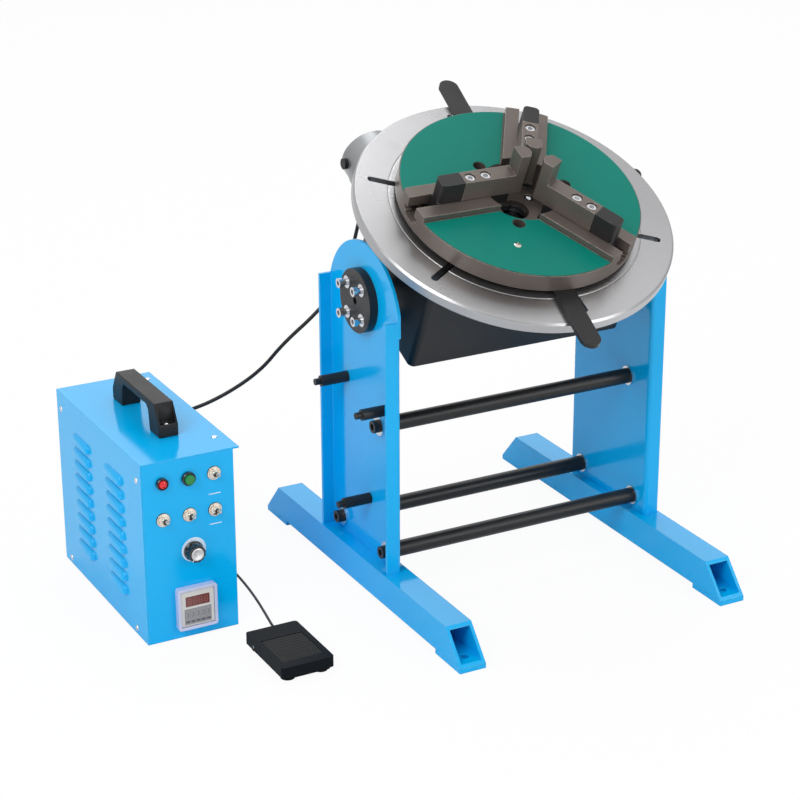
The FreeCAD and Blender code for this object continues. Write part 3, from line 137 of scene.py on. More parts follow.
def noise(tree, vector, scale, detail):
    """A soft noise, its scale a number or a socket."""
    made = tree.nodes.new("ShaderNodeTexNoise")
    made.inputs["Detail"].default_value = detail
    made.inputs["Roughness"].default_value = 0.55
    tree.links.new(vector, made.inputs["Vector"])
    if isinstance(scale, (int, float)):
        made.inputs["Scale"].default_value = scale
    else:
        tree.links.new(scale, made.inputs["Scale"])
    return made.outputs["Fac"]


def maths(tree, kind, first, second=0.0):
    """One sum of two numbers or sockets."""
    made = tree.nodes.new("ShaderNodeMath")
    made.operation = kind
    for socket, value in zip(made.inputs, (first, second)):
        if isinstance(value, (int, float)):
            socket.default_value = value
        else:
            tree.links.new(value, socket)
    return made.outputs[0]


def spread(tree, value, from_low, from_high, to_low, to_high):
    """A value moved from one range to another."""
    made = tree.nodes.new("ShaderNodeMapRange")
    made.inputs["From Min"].default_value = from_low
    made.inputs["From Max"].default_value = from_high
    made.inputs["To Min"].default_value = to_low
    made.inputs["To Max"].default_value = to_high
    tree.links.new(value, made.inputs["Value"])
    return made.outputs["Result"]


def make_surface_effect():
    """Broad clouding and a fine grain, which every finish carries in its own amount."""
    group, start, end = effect(
        "surface_variation",
        [("Place", "NodeSocketVector", None), ("Cloud Scale", "NodeSocketFloat", 9.0),
         ("Cloud Amount", "NodeSocketFloat", 0.1), ("Grain Scale", "NodeSocketFloat", 600.0)],
        [("Shade", "NodeSocketFloat"), ("Cloud", "NodeSocketFloat"), ("Grain", "NodeSocketFloat")])
    cloud = noise(group, start.outputs["Place"], start.outputs["Cloud Scale"], 4.0)
    grain = noise(group, start.outputs["Place"], start.outputs["Grain Scale"], 2.0)
    centred = maths(group, "SUBTRACT", cloud, 0.5)
    clouded = maths(group, "MULTIPLY", centred, start.outputs["Cloud Amount"])
    shade = maths(group, "ADD", clouded, 1.0)
    group.links.new(shade, end.inputs["Shade"])
    group.links.new(cloud, end.inputs["Cloud"])
    group.links.new(grain, end.inputs["Grain"])
    return group


def make_rings_and_highlight_effect():
    """Fine turned rings round Z, and soft light and dark fans round Z painted into the colour: a
    painted highlight and painted shade in place of turned metal's reflections.
    """
    group, start, end = effect(
        "turned_rings_and_painted_highlight",
        [("Place", "NodeSocketVector", None), ("Ring Scale", "NodeSocketFloat", 400.0),
         ("Fan Amount", "NodeSocketFloat", 0.3), ("Painted Highlight Turn", "NodeSocketFloat", 4.2)],
        [("Ring", "NodeSocketFloat"), ("Painted Highlight", "NodeSocketFloat")])
    wave = group.nodes.new("ShaderNodeTexWave")
    wave.wave_type = "RINGS"
    wave.rings_direction = "Z"
    wave.inputs["Distortion"].default_value = 0.6
    wave.inputs["Detail"].default_value = 2.0
    group.links.new(start.outputs["Place"], wave.inputs["Vector"])
    group.links.new(start.outputs["Ring Scale"], wave.inputs["Scale"])
    around = group.nodes.new("ShaderNodeTexGradient")
    around.gradient_type = "RADIAL"
    group.links.new(start.outputs["Place"], around.inputs["Vector"])
    # Painted highlight: two light and two dark lobes round the axis that lighten and darken the
    # colour.
    two_highlight_lobes = 2 * 2 * math.pi
    angle = maths(group, "MULTIPLY", around.outputs["Fac"], two_highlight_lobes)
    painted_highlight = maths(group, "SINE", maths(group, "ADD", angle, start.outputs["Painted Highlight Turn"]))
    painted_highlight = maths(group, "ADD", maths(group, "MULTIPLY", painted_highlight, start.outputs["Fan Amount"]), 1.0)
    group.links.new(wave.outputs["Fac"], end.inputs["Ring"])
    group.links.new(painted_highlight, end.inputs["Painted Highlight"])
    return group


def make_edge_wear_and_highlight_effect():
    """How much an edge is lightened, as rubbed bare metal and as a painted edge highlight, and the
    normal of an edge rounded to that radius.
    """
    group, start, end = effect(
        "edge_wear_and_highlight",
        [("Place", "NodeSocketVector", None), ("Radius", "NodeSocketFloat", 0.0006),
         ("Breakup Scale", "NodeSocketFloat", 180.0)],
        [("Wear And Highlight", "NodeSocketFloat"), ("Normal", "NodeSocketVector")])
    rounded = group.nodes.new("ShaderNodeBevel")
    rounded.samples = 4
    group.links.new(start.outputs["Radius"], rounded.inputs["Radius"])
    flat = group.nodes.new("ShaderNodeNewGeometry")
    facing = group.nodes.new("ShaderNodeVectorMath")
    facing.operation = "DOT_PRODUCT"
    group.links.new(rounded.outputs["Normal"], facing.inputs[0])
    group.links.new(flat.outputs["Normal"], facing.inputs[1])
    bend = maths(group, "SUBTRACT", 1.0, facing.outputs["Value"])
    wear_and_highlight = spread(group, bend, 0.01, 0.16, 0.0, 1.0)
    breakup = noise(group, start.outputs["Place"], start.outputs["Breakup Scale"], 3.0)
    wear_and_highlight = maths(group, "MULTIPLY", wear_and_highlight, spread(group, breakup, 0.35, 0.6, 0.25, 1.0))
    group.links.new(wear_and_highlight, end.inputs["Wear And Highlight"])
    group.links.new(rounded.outputs["Normal"], end.inputs["Normal"])
    return group


SURFACE = make_surface_effect()
# RINGS gives the turned rings and also the painted highlight fan.
RINGS = make_rings_and_highlight_effect()
EDGES = make_edge_wear_and_highlight_effect()


# ---------------------------------------------------------------- finishes


def start_finish(name):
    """A new material with its node tree and its shader."""
    material = bpy.data.materials.new(name)
    material.use_nodes = True
    tree = material.node_tree
    return material, tree, tree.nodes["Principled BSDF"]


def use_effect(tree, group, **values):
    """Places a shared effect in a material and sets or links its inputs."""
    made = tree.nodes.new("ShaderNodeGroup")
    made.node_tree = group
    for label, value in values.items():
        socket = made.inputs[label.replace("_", " ")]
        if isinstance(value, (int, float)):
            socket.default_value = value
        else:
            tree.links.new(value, socket)
    return made.outputs


def placed(tree, where=None):
    """Object coordinates, turned into a piece's own place where one is given."""
    source = tree.nodes.new("ShaderNodeTexCoord").outputs["Object"]
    if where is None:
        return source
    inverse = where.inverted()
    mapping = tree.nodes.new("ShaderNodeMapping")
    mapping.inputs["Location"].default_value = inverse.to_translation()
    mapping.inputs["Rotation"].default_value = inverse.to_euler()
    tree.links.new(source, mapping.inputs["Vector"])
    return mapping.outputs["Vector"]


def finish(name, colour, roughness, metallic=0.0, coat=0.0, cloud=(9, 0.08), grain=(700, 0.02),
           rough_range=0.06, rings=None, specular=0.5, edge=None):
    """A finish: clouded colour, lighter edges (rubbed bare metal and a painted edge highlight),
    roughness that varies, and a fine relief.
    """
    material, tree, shader = start_finish(name)
    vector = placed(tree)
    vary = use_effect(tree, SURFACE, Place=vector, Cloud_Scale=cloud[0], Cloud_Amount=cloud[1],
                      Grain_Scale=grain[0])
    shade, height = vary["Shade"], vary["Grain"]
    # Turned rings, and a painted highlight fan that lightens and darkens the colour round the axis.
    if rings:
        where, ring_scale, painted_highlight, depth = rings
        spin = use_effect(tree, RINGS, Place=placed(tree, where), Ring_Scale=ring_scale,
                          Fan_Amount=painted_highlight)
        shade = maths(tree, "MULTIPLY", shade, spin["Painted Highlight"])
        ringed = spread(tree, spin["Ring"], 0, 1, 1 - depth, 1 + depth)
        shade = maths(tree, "MULTIPLY", shade, ringed)
        height = maths(tree, "ADD", maths(tree, "MULTIPLY", height, 0.5), spin["Ring"])
    tint = tree.nodes.new("ShaderNodeVectorMath")
    tint.operation = "SCALE"
    tint.inputs[0].default_value = colour
    tree.links.new(shade, tint.inputs["Scale"])
    bump = tree.nodes.new("ShaderNodeBump")
    bump.inputs["Strength"].default_value = grain[1]
    bump.inputs["Distance"].default_value = 0.5 * MM
    tree.links.new(height, bump.inputs["Height"])
    # Lighter edge colour: a painted edge highlight, with rubbed bare metal on the iron, jaws and
    # black oxide.
    if edge:
        rubbed_and_highlit_colour, amount, radius = edge
        rubbed_and_highlit_edge = use_effect(tree, EDGES, Place=vector, Radius=radius)
        mix = tree.nodes.new("ShaderNodeMix")
        mix.data_type = "RGBA"
        tree.links.new(maths(tree, "MULTIPLY", rubbed_and_highlit_edge["Wear And Highlight"], amount), mix.inputs["Factor"])
        tree.links.new(tint.outputs[0], mix.inputs["A"])
        mix.inputs["B"].default_value = (*rubbed_and_highlit_colour, 1)
        tree.links.new(mix.outputs["Result"], shader.inputs["Base Color"])
        tree.links.new(rubbed_and_highlit_edge["Normal"], bump.inputs["Normal"])
    else:
        tree.links.new(tint.outputs[0], shader.inputs["Base Color"])
    rough = spread(tree, vary["Cloud"], 0.25, 0.75, max(roughness - rough_range, 0.03),
                   min(roughness + rough_range, 1.0))
    tree.links.new(rough, shader.inputs["Roughness"])
    tree.links.new(bump.outputs["Normal"], shader.inputs["Normal"])
    shader.inputs["Metallic"].default_value = metallic
    shader.inputs["Coat Weight"].default_value = coat
    shader.inputs["Coat Roughness"].default_value = 0.08
    shader.inputs["Specular IOR Level"].default_value = specular
    return material


# Each edge colour lightens the edges: rubbed bare metal on the phosphated iron, jaws and black
# oxide, and a painted edge highlight on the paints, plastics, rubber, clear cover, turned steel and
# aluminium.
blue_coat = finish("blue_gloss_coat", (0.0, 0.43, 0.87), 0.13, cloud=(5, 0.05), specular=0.36,
                   grain=(900, 0.02), rough_range=0.04, edge=((0.10, 0.56, 0.94), 0.7, 0.0011))
black_coat = finish("black_paint", (0.013, 0.013, 0.014), 0.36, cloud=(14, 0.4), specular=0.35,
                    grain=(900, 0.06), rough_range=0.08, edge=((0.05, 0.05, 0.055), 0.5, 0.0008))
teal_coat = finish("teal_paint", (0.0, 0.195, 0.150), 0.30, cloud=(12, 0.22), specular=0.14,
                   grain=(1400, 0.05), edge=((0.20, 0.34, 0.29), 0.8, 0.0008))
black_oxide = finish("black_oxide_steel", (0.022, 0.022, 0.023), 0.34, metallic=0.35, specular=0.4,
                     cloud=(30, 0.5), grain=(800, 0.05), edge=((0.10, 0.09, 0.08), 0.6, 0.0006))
zinc = finish("zinc_plate", (0.66, 0.67, 0.69), 0.22, metallic=1.0, cloud=(60, 0.15),
              grain=(900, 0.04))
# The table's colour carries a painted highlight fan and a painted edge highlight over its turned
# rings.
turned_steel = finish("turned_table_steel", (0.46, 0.46, 0.47), 0.27, metallic=0.95,
                      cloud=(7, 0.06), grain=(900, 0.08), rings=(TABLE, 420, 0.10, 0.05),
                      edge=((0.62, 0.62, 0.62), 0.8, 0.0011))
iron = finish("phosphated_iron", (0.150, 0.125, 0.110), 0.38, metallic=0.4, cloud=(22, 0.3),
              specular=0.4, grain=(500, 0.08), rough_range=0.1,
              edge=((0.46, 0.41, 0.37), 0.85, 0.0012))
jaw_black = finish("blackened_jaw", (0.022, 0.021, 0.022), 0.40, metallic=0.3, cloud=(24, 0.4),
                   specular=0.4, grain=(500, 0.06), edge=((0.16, 0.15, 0.14), 0.7, 0.0010))
ground_steel = finish("ground_steel", (0.55, 0.55, 0.56), 0.20, metallic=1.0, cloud=(20, 0.1),
                      grain=(1200, 0.05))
bronze = finish("bronze", (0.50, 0.31, 0.12), 0.35, metallic=0.9, cloud=(25, 0.2),
                grain=(700, 0.05))
motor_grey = finish("motor_aluminium", (0.34, 0.35, 0.36), 0.34, metallic=0.8, cloud=(16, 0.16),
                    grain=(420, 0.10), edge=((0.6, 0.6, 0.61), 0.6, 0.0008))
black_plastic = finish("black_grained_plastic", (0.012, 0.012, 0.013), 0.42, cloud=(20, 0.3),
                       specular=0.25, grain=(1500, 0.14), edge=((0.05, 0.05, 0.05), 0.5, 0.0008))
pedal_plastic = finish("pedal_plastic", (0.008, 0.010, 0.013), 0.34, cloud=(20, 0.3), specular=0.03,
                       grain=(1500, 0.10), edge=((0.05, 0.05, 0.05), 0.6, 0.0009))
tread_rubber = finish("tread_rubber", (0.024, 0.023, 0.022), 0.55, cloud=(30, 0.3), specular=0.10,
                      grain=(1800, 0.3), edge=((0.07, 0.07, 0.07), 0.6, 0.0006))
gloss_black = finish("gloss_black_plastic", (0.008, 0.008, 0.009), 0.16, coat=0.3, cloud=(20, 0.2),
                     grain=(600, 0.02))
rubber = finish("cord_rubber", (0.010, 0.010, 0.010), 0.45, cloud=(40, 0.3), grain=(900, 0.06),
                specular=0.4)
nickel = finish("nickel_plate", (0.72, 0.66, 0.58), 0.16, metallic=1.0, cloud=(80, 0.25),
                grain=(900, 0.03))
red_plastic = finish("red_lens", (0.70, 0.006, 0.012), 0.14, coat=0.4, cloud=(80, 0.15),
                     grain=(400, 0.02))
green_plastic = finish("green_button", (0.003, 0.21, 0.035), 0.2, coat=0.3, cloud=(80, 0.15),
                       grain=(400, 0.02))
clear_cover = finish("clear_cover_plastic", (0.56, 0.60, 0.80), 0.10, coat=0.6, cloud=(30, 0.2),
                     grain=(300, 0.03), edge=((0.85, 0.87, 0.95), 0.8, 0.0009))
pale_grey = finish("timer_grey", (0.66, 0.64, 0.62), 0.35, coat=0.2, cloud=(40, 0.06),
                   grain=(700, 0.03))
key_grey = finish("timer_keys", (0.30, 0.30, 0.31), 0.4, cloud=(60, 0.1), grain=(900, 0.05))
key_dark = finish("timer_key_print", (0.10, 0.10, 0.11), 0.4, cloud=(60, 0.2), grain=(900, 0.05))
display_red = finish("display_window", (0.17, 0.055, 0.05), 0.14, coat=0.4, cloud=(60, 0.2),
                     grain=(400, 0.01))
digit_red = finish("display_digits", (0.30, 0.10, 0.09), 0.3, cloud=(60, 0.1), grain=(400, 0.01))
white_mark = finish("white_print", (0.85, 0.87, 0.90), 0.45, cloud=(60, 0.05), grain=(900, 0.02))
# The spun cap's colour carries a painted highlight fan over its rings.
silver_cap = finish("spun_silver", (0.82, 0.81, 0.81), 0.26, metallic=0.8, cloud=(30, 0.1),
                    grain=(900, 0.05), rings=(KNOB_AT, 900, 0.25, 0.05))
dial_silver = finish("dial_silver", (0.62, 0.74, 0.86), 0.3, metallic=0.4, cloud=(30, 0.1),
                     grain=(900, 0.05))
varnish = finish("varnished_core", (0.20, 0.16, 0.08), 0.45, cloud=(60, 0.3), grain=(500, 0.2))

for material, names in {
        blue_coat: "left_foot right_foot foot_pads left_upright right_upright control_chassis "
                   "control_cover",
        black_coat: "bearing_flanges tilt_lock head_housing head_cover",
        teal_coat: "sector_plates",
        black_oxide: "tie_rods tie_rod_bolts cable_pegs chuck_bolts spindle_nut scroll_levers",
        zinc: "tie_rod_washers flange_bolts flange_nuts pedal_pin table_bolts",
        turned_steel: "table_plate",
        iron: "chuck_body scroll_ring top_jaw_1 top_jaw_2 top_jaw_3 hub_ring",
        jaw_black: "master_jaw_1 master_jaw_2 master_jaw_3",
        ground_steel: "trunnions spindle_bearings spindle worm",
        bronze: "worm_wheel",
        motor_grey: "gearbox motor_body",
        black_plastic: "carry_handle power_inlet cord_glands motor_gland brush_caps switch_bodies "
                       "timer",
        pedal_plastic: "pedal_base pedal_treadle",
        gloss_black: "speed_knob",
        nickel: "panel_bezels toggle_lever_1 toggle_lever_2 toggle_lever_3 toggle_lever_4",
        red_plastic: "pilot_lens", green_plastic: "reset_button", varnish: "transformer",
        rubber: "motor_cord pedal_cord"}.items():
    for node in names.split():
        mesh = frame["nodes"][node].data
        mesh.materials.clear()
        mesh.materials.append(material)


# ---------------------------------------------------------------- modelling helpers


def only_verts(geometry):
    """The points among a step's results."""
    return [item for item in geometry if isinstance(item, bmesh.types.BMVert)]


def spun(bm, profile, place, steps=32):
    """A profile of (radius, height) points in millimetres, spun round Z."""
    before = set(bm.verts)
    corners = [bm.verts.new((radius * MM, 0, height * MM)) for radius, height in profile]
    lines = [bm.edges.new(pair) for pair in zip(corners, corners[1:])]
    bmesh.ops.spin(bm, geom=corners + lines, cent=(0, 0, 0), axis=(0, 0, 1),
                   angle=2 * math.pi, steps=steps, use_merge=True)
    new = [v for v in bm.verts if v not in before]
    bmesh.ops.transform(bm, matrix=place, verts=new)


def slab(bm, outline, low, high, place, corner=0.0):
    """An outline of (x, y) points in millimetres, raised from low to high, its corners rounded."""
    before = set(bm.verts)
    face = bm.faces.new([bm.verts.new((x * MM, y * MM, low * MM)) for x, y in outline])
    raised = bmesh.ops.extrude_face_region(bm, geom=[face])["geom"]
    bmesh.ops.translate(bm, vec=(0, 0, (high - low) * MM), verts=only_verts(raised))
    if corner:
        upright = [edge for edge in bm.edges if edge.verts[0] not in before
                   and abs(edge.verts[0].co.z - edge.verts[1].co.z) > 1e-6]
        bmesh.ops.bevel(bm, geom=upright, offset=corner * MM, segments=4, profile=0.5,
                        affect="EDGES", material=-1)
    new = [v for v in bm.verts if v not in before]
    bmesh.ops.transform(bm, matrix=place, verts=new)


def oblong(x, y, width, height):
    """An outline about its middle, for slab."""
    return [(x - width / 2, y - height / 2), (x + width / 2, y - height / 2),
            (x + width / 2, y + height / 2), (x - width / 2, y + height / 2)]


def socket_head(bm, place, radius, height, key, sunk):
    """A round screw head with a rounded rim and a hexagon socket, standing on Z = 0."""
    spun(bm, [(radius, 0), (radius, height * 0.85), (radius * 0.94, height),
              (radius * 0.8, height)], place, 24)
    centre = place @ Vector((0, 0, height * MM))
    reach = radius * 0.82 * MM
    top = [e for e in bm.edges
           if e.is_boundary and all((v.co - centre).length < reach for v in e.verts)]
    six = bmesh.ops.create_circle(bm, segments=6, radius=key * MM,
                                  matrix=place @ spot(0, 0, height))["verts"]
    inner = [e for e in bm.edges if e.verts[0] in six and e.verts[1] in six]
    bmesh.ops.bridge_loops(bm, edges=top + inner)
    deep = bmesh.ops.extrude_edge_only(bm, edges=inner)["geom"]
    bmesh.ops.translate(bm, vec=place.to_3x3() @ Vector((0, 0, -sunk * MM)), verts=only_verts(deep))
    bmesh.ops.contextual_create(bm, geom=only_verts(deep))


def pan_head(bm, place, radius=3.9, height=1.5):
    """A domed screw head."""
    spun(bm, [(0, height), (radius * 0.46, height * 0.93), (radius * 0.87, height * 0.53),
              (radius, 0)], place, 20)


def piece(name, bm, material, body, bevel=0.0, smooth=True, replaced=()):
    """Finishes a bmesh as one object that moves with a body."""
    bmesh.ops.remove_doubles(bm, verts=bm.verts, dist=1e-6)
    bmesh.ops.recalc_face_normals(bm, faces=bm.faces)
    mesh = bpy.data.meshes.new(name)
    bm.to_mesh(mesh)
    bm.free()
    mesh.materials.append(material)
    made = bpy.data.objects.new(name, mesh)
    bpy.context.scene.collection.objects.link(made)
    if smooth:
        mesh.shade_smooth()
        mesh.set_sharp_from_angle(angle=math.radians(35))
    if bevel:
        rounded = made.modifiers.new("rounded_edges", "BEVEL")
        rounded.width = bevel * MM
        rounded.segments = 2
        rounded.limit_method = "ANGLE"
        rounded.harden_normals = True
    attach(made, body)
    if replaced:
        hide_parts(*replaced)
    return made


# ---------------------------------------------------------------- cords


def cord_curve(name, route, radius):
    """A smooth line along a cord's route, as thick as the radius."""
    curve = bpy.data.curves.new(name, "CURVE")
    curve.dimensions = "3D"
    curve.bevel_depth = radius
    curve.bevel_resolution = 4
    curve.resolution_u = 16
    curve.use_fill_caps = radius > 0
    line = curve.splines.new("NURBS")
    line.points.add(len(route) - 1)
    for point, place in zip(line.points, route):
        point.co = (*place, 1)
    line.order_u = 3
    line.use_endpoint_u = True
    made = bpy.data.objects.new(name, curve)
    bpy.context.scene.collection.objects.link(made)
    return made


def as_mesh(curve_object):
    """The mesh of a curve, with the curve itself taken away."""
    bpy.context.view_layer.update()
    graph = bpy.context.evaluated_depsgraph_get()
    mesh = bpy.data.meshes.new_from_object(curve_object.evaluated_get(graph))
    bpy.data.objects.remove(curve_object)
    return mesh


def motor_lead():
    """The motor's cord: fixed on the box, and ending at the gland under the motor on the head."""
    gland_tip = HEAD @ Vector((-0.092, 0.185, -0.005))
    gland_way = HEAD.to_3x3() @ Vector((0, 0, -0.040))
    route = [
        (-0.4135, 0.274, 0.130), (-0.4135, 0.305, 0.130), (-0.391, 0.331, 0.130),
        (-0.348, 0.331, 0.134), (-0.2908, 0.300, 0.151), (-0.2472, 0.279, 0.175),
        (-0.2096, 0.2575, 0.2075), (-0.188, 0.236, 0.247), (-0.1456, 0.215, 0.291),
        (-0.106, 0.211, 0.335), tuple(gland_tip + gland_way), tuple(gland_tip)]
    line = as_mesh(cord_curve("motor_lead_line", route, 0))
    tube = as_mesh(cord_curve("motor_lead_tube", route, 0.0025))
    tube.materials.clear()
    tube.materials.append(rubber)
    tube.shade_smooth()
    made = bpy.data.objects.new("motor_lead", tube)
    bpy.context.scene.collection.objects.link(made)
    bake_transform(made)
    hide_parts("motor_cord")


def pedal_lead():
    """The foot switch's cord, which lies on the floor and climbs to the back of the box."""
    route = [
        (-0.346, -0.081, 0.0022), (-0.346, -0.060, 0.0022), (-0.339, -0.022, 0.0022),
        (-0.3315, 0.022, 0.0022), (-0.326, 0.070, 0.0022), (-0.3235, 0.120, 0.0022),
        (-0.326, 0.170, 0.0022), (-0.331, 0.220, 0.0022), (-0.340, 0.264, 0.0022),
        (-0.352, 0.298, 0.005), (-0.373, 0.316, 0.012), (-0.398, 0.312, 0.022),
        (-0.4115, 0.296, 0.030), (-0.4115, 0.274, 0.030)]
    made = cord_curve("pedal_lead", route, 0.0016)
    made.data.materials.append(rubber)
    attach(made, "stand")
    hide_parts("pedal_cord")


def strain_reliefs():
    """Tapered, ringed sleeves where the cords leave the box and the motor."""
    gland_long, sleeve_long, ring_pitch, taper, groove = 17, 20.5, 3.6, 0.45, 0.7
    back = BOX_DEPTH + box_low.y / MM
    on_box = bmesh.new()
    for x, z, radius in ((-413.5, 130, 2.5), (-411.5, 30, 1.6)):
        place = spot(x, back + gland_long, z) @ turned(-90, "X")
        profile = [(radius + 3.2, 0)]
        for ring in range(5):
            along = 2 + ring * ring_pitch
            wide = radius + 2.9 - ring * taper
            profile += [(wide, along), (wide, along + 1.9), (wide - groove, along + 2.3),
                        (wide - groove, along + 3.3)]
        spun(on_box, profile + [(radius + 0.1, sleeve_long)], place, 20)
    piece("box_strain_reliefs", on_box, rubber, "stand")
    on_motor = bmesh.new()
    below_motor = HEAD @ spot(-92, 185, -5) @ turned(180, "X")
    spun(on_motor, [(2.6, 0), (4.6, 0), (4.4, 5), (3.7, 5.4), (3.9, 9), (3.4, 9.4), (3.5, 13),
                    (3.0, 13.4), (3.0, 17), (2.6, 17.5)], below_motor, 20)
    piece("motor_strain_relief", on_motor, rubber, "head")


motor_lead()
pedal_lead()
strain_reliefs()


# ---------------------------------------------------------------- control box


def louvre(bm, front, low):
    """One scooped louvre: a rounded hood open at its lower edge."""
    length, out, tall, end, thick = 56.0, 4.8, 11.0, 7.0, 1.0
    before = set(bm.verts)
    bmesh.ops.create_uvsphere(bm, u_segments=24, v_segments=13, radius=1,
                              matrix=turned(90, "X"))
    ball = [v for v in bm.verts if v not in before]
    unwanted = [v for v in ball if v.co.x > 1e-4 or v.co.z < -1e-4]
    bmesh.ops.delete(bm, geom=unwanted, context="VERTS")
    hood = [v for v in bm.verts if v not in before]
    for vert in hood:
        side = math.copysign(length / 2 - end, vert.co.y)
        vert.co = Vector((vert.co.x * out, side + vert.co.y * end, vert.co.z * tall)) * MM
    faces = [face for face in bm.faces if face.verts[0] not in before]
    bmesh.ops.recalc_face_normals(bm, faces=faces)
    bmesh.ops.solidify(bm, geom=faces, thickness=thick * MM)
    new = [v for v in bm.verts if v not in before]
    bmesh.ops.transform(bm, matrix=BOX @ spot(-SHEET, front + length / 2, low), verts=new)


def cover_shell():
    """The folded cover: side and top in one sheet, with two columns of louvres in its side."""
    columns, first, pitch, count, mouth = (62, 170), 41, 18, 9, 6
    slot_start, slot_end = 3, 53
    top_of_slots = first + (count - 1) * pitch + mouth
    bm = bmesh.new()
    corners = [bm.verts.new((x * MM, 0, z * MM)) for x, z in
               ((-SHEET, 0), (-SHEET, BOX_TOP), (BOX_WIDTH + COVER_LIP, BOX_TOP))]
    lines = [bm.edges.new(pair) for pair in zip(corners, corners[1:])]
    deep = bmesh.ops.extrude_edge_only(bm, edges=lines)["geom"]
    bmesh.ops.translate(bm, vec=(0, BOX_DEPTH * MM, 0), verts=only_verts(deep))
    cuts = [((0, at * MM, 0), (0, 1, 0))
            for column in columns for at in (column + slot_start, column + slot_end)]
    for step in range(count):
        low = first + step * pitch
        cuts += [((0, 0, at * MM), (0, 0, 1)) for at in (low, low + mouth)]
    for where, way in cuts:
        bmesh.ops.bisect_plane(bm, geom=bm.verts[:] + bm.edges[:] + bm.faces[:],
                               plane_co=where, plane_no=way)
    slots = []
    for face in bm.faces:
        at = face.calc_center_median() / MM
        in_column = any(column + slot_start < at.y < column + slot_end for column in columns)
        in_row = first < at.z < top_of_slots and (at.z - first) % pitch < mouth
        if in_column and in_row:
            slots.append(face)
    bmesh.ops.delete(bm, geom=slots, context="FACES")
    bmesh.ops.recalc_face_normals(bm, faces=bm.faces)
    for face in bm.faces:
        if face.normal.x > 0.5 or face.normal.z < -0.5:
            face.normal_flip()
    bmesh.ops.solidify(bm, geom=bm.faces[:], thickness=SHEET * MM)
    bmesh.ops.transform(bm, matrix=BOX, verts=bm.verts)
    for column in columns:
        for step in range(count):
            louvre(bm, column, first + step * pitch)
    piece("cover_shell", bm, blue_coat, "stand", replaced=["control_cover"])


def handle():
    """The bow handle: chamfered bar, and a screw pocket in the slope of each foot."""
    foot, flare, knee, bar, rise, slope = 31.0, 9.0, 5.0, 9.0, 15.0, 14.0
    pocket_wall, pocket_floor, screw_in = 4.0, 14.5, 8.0
    length, tall = HANDLE_LONG, HANDLE_TALL
    under = tall - bar
    outline = [(0, 0), (foot, 0), (foot + flare * 0.4, under - knee), (foot + flare, under),
               (length - foot - flare, under), (length - foot - flare * 0.4, under - knee),
               (length - foot, 0), (length, 0), (length, rise), (length - slope, tall),
               (slope, tall), (0, rise)]
    bm = bmesh.new()
    across = Matrix(((0, 0, 1, 0), (1, 0, 0, 0), (0, 1, 0, 0), (0, 0, 0, 1)))
    slab(bm, outline, 0, HANDLE_WIDTH, across)
    bm.faces.ensure_lookup_table()
    bmesh.ops.recalc_face_normals(bm, faces=bm.faces)
    slopes = [f for f in bm.faces if 0.2 < f.normal.z < 0.95 and abs(f.normal.y) > 0.3]
    for face in slopes:
        bmesh.ops.inset_individual(bm, faces=[face], thickness=pocket_wall * MM)
        pushed = bmesh.ops.extrude_discrete_faces(bm, faces=[face])["faces"]
        for vert in pushed[0].verts:
            vert.co.z = pocket_floor * MM
    bmesh.ops.transform(bm, matrix=HANDLE_AT, verts=bm.verts)
    made = piece("bow_handle", bm, black_plastic, "stand", bevel=1.5, replaced=["carry_handle"])
    made.modifiers["rounded_edges"].segments = 3
    screws = bmesh.new()
    for y in (screw_in, length - screw_in):
        pan_head(screws, HANDLE_AT @ spot(HANDLE_WIDTH / 2, y, pocket_floor - 0.1), 3.9, 2.2)
    piece("handle_screws", screws, zinc, "stand")


def lamp_and_button():
    """The black rings on the panel, the lamp's red dome and the green button's cap."""
    rings = bmesh.new()
    spun(rings, [(7.5, 0), (7.5, 4.2), (6.9, 5.0), (5.9, 5.0), (5.6, 4.0), (5.6, 0)],
         LAMP_AT, 40)
    spun(rings, [(8.5, 0), (8.5, 4.0), (7.8, 4.9), (6.6, 4.9), (6.3, 4.0), (6.3, 0)],
         BUTTON_AT, 40)
    for place in TOGGLES_AT:
        spun(rings, [(8.9, 0), (8.9, 0.4), (8.6, 0.9), (3.1, 0.9), (3.1, 0)], place, 40)
    piece("panel_rings", rings, gloss_black, "stand", replaced=["panel_bezels"])
    lens = bmesh.new()
    spun(lens, [(0, 7.2), (2.6, 6.9), (4.4, 6.0), (5.2, 4.4), (5.4, 2.0), (0, 2.0)], LAMP_AT, 32)
    piece("lamp_dome", lens, red_plastic, "stand", replaced=["pilot_lens"])
    cap = bmesh.new()
    spun(cap, [(0, 8.4), (4.6, 8.3), (5.7, 7.9), (6.1, 7.0), (6.1, 2.6), (0, 2.6)], BUTTON_AT, 32)
    piece("button_cap", cap, green_plastic, "reset_button", replaced=["reset_button"])


def toggle_fittings():
    """Washer, hexagon nut and threaded bush of each toggle switch."""
    washer_top, nut_radius, nut_high, nut_turn = 1.5, 7.0, 2.0, 12
    bm = bmesh.new()
    for place in TOGGLES_AT:
        spun(bm, [(3.1, 0.95), (8.3, 0.95), (8.6, 1.2), (8.3, washer_top), (3.1, washer_top)],
             place, 36)
        before = set(bm.verts)
        ring = bmesh.ops.create_circle(bm, segments=6, radius=nut_radius * MM, cap_ends=True,
                                       matrix=spot(0, 0, washer_top))["verts"]
        face = next(iter(ring[0].link_faces))
        up = bmesh.ops.extrude_face_region(bm, geom=[face])["geom"]
        bmesh.ops.translate(bm, vec=(0, 0, nut_high * MM), verts=only_verts(up))
        top = [f for f in up if isinstance(f, bmesh.types.BMFace)]
        bmesh.ops.inset_individual(bm, faces=top, thickness=0.9 * MM, depth=0.35 * MM)
        nut = [v for v in bm.verts if v not in before]
        bmesh.ops.transform(bm, matrix=place @ turned(nut_turn), verts=nut)
        spun(bm, [(3.4, 3.8), (3.4, 5.9), (3.1, 6.9), (2.4, 6.9), (2.2, 5.0)], place, 28)
    piece("toggle_nuts", bm, nickel, "stand", bevel=0.2)


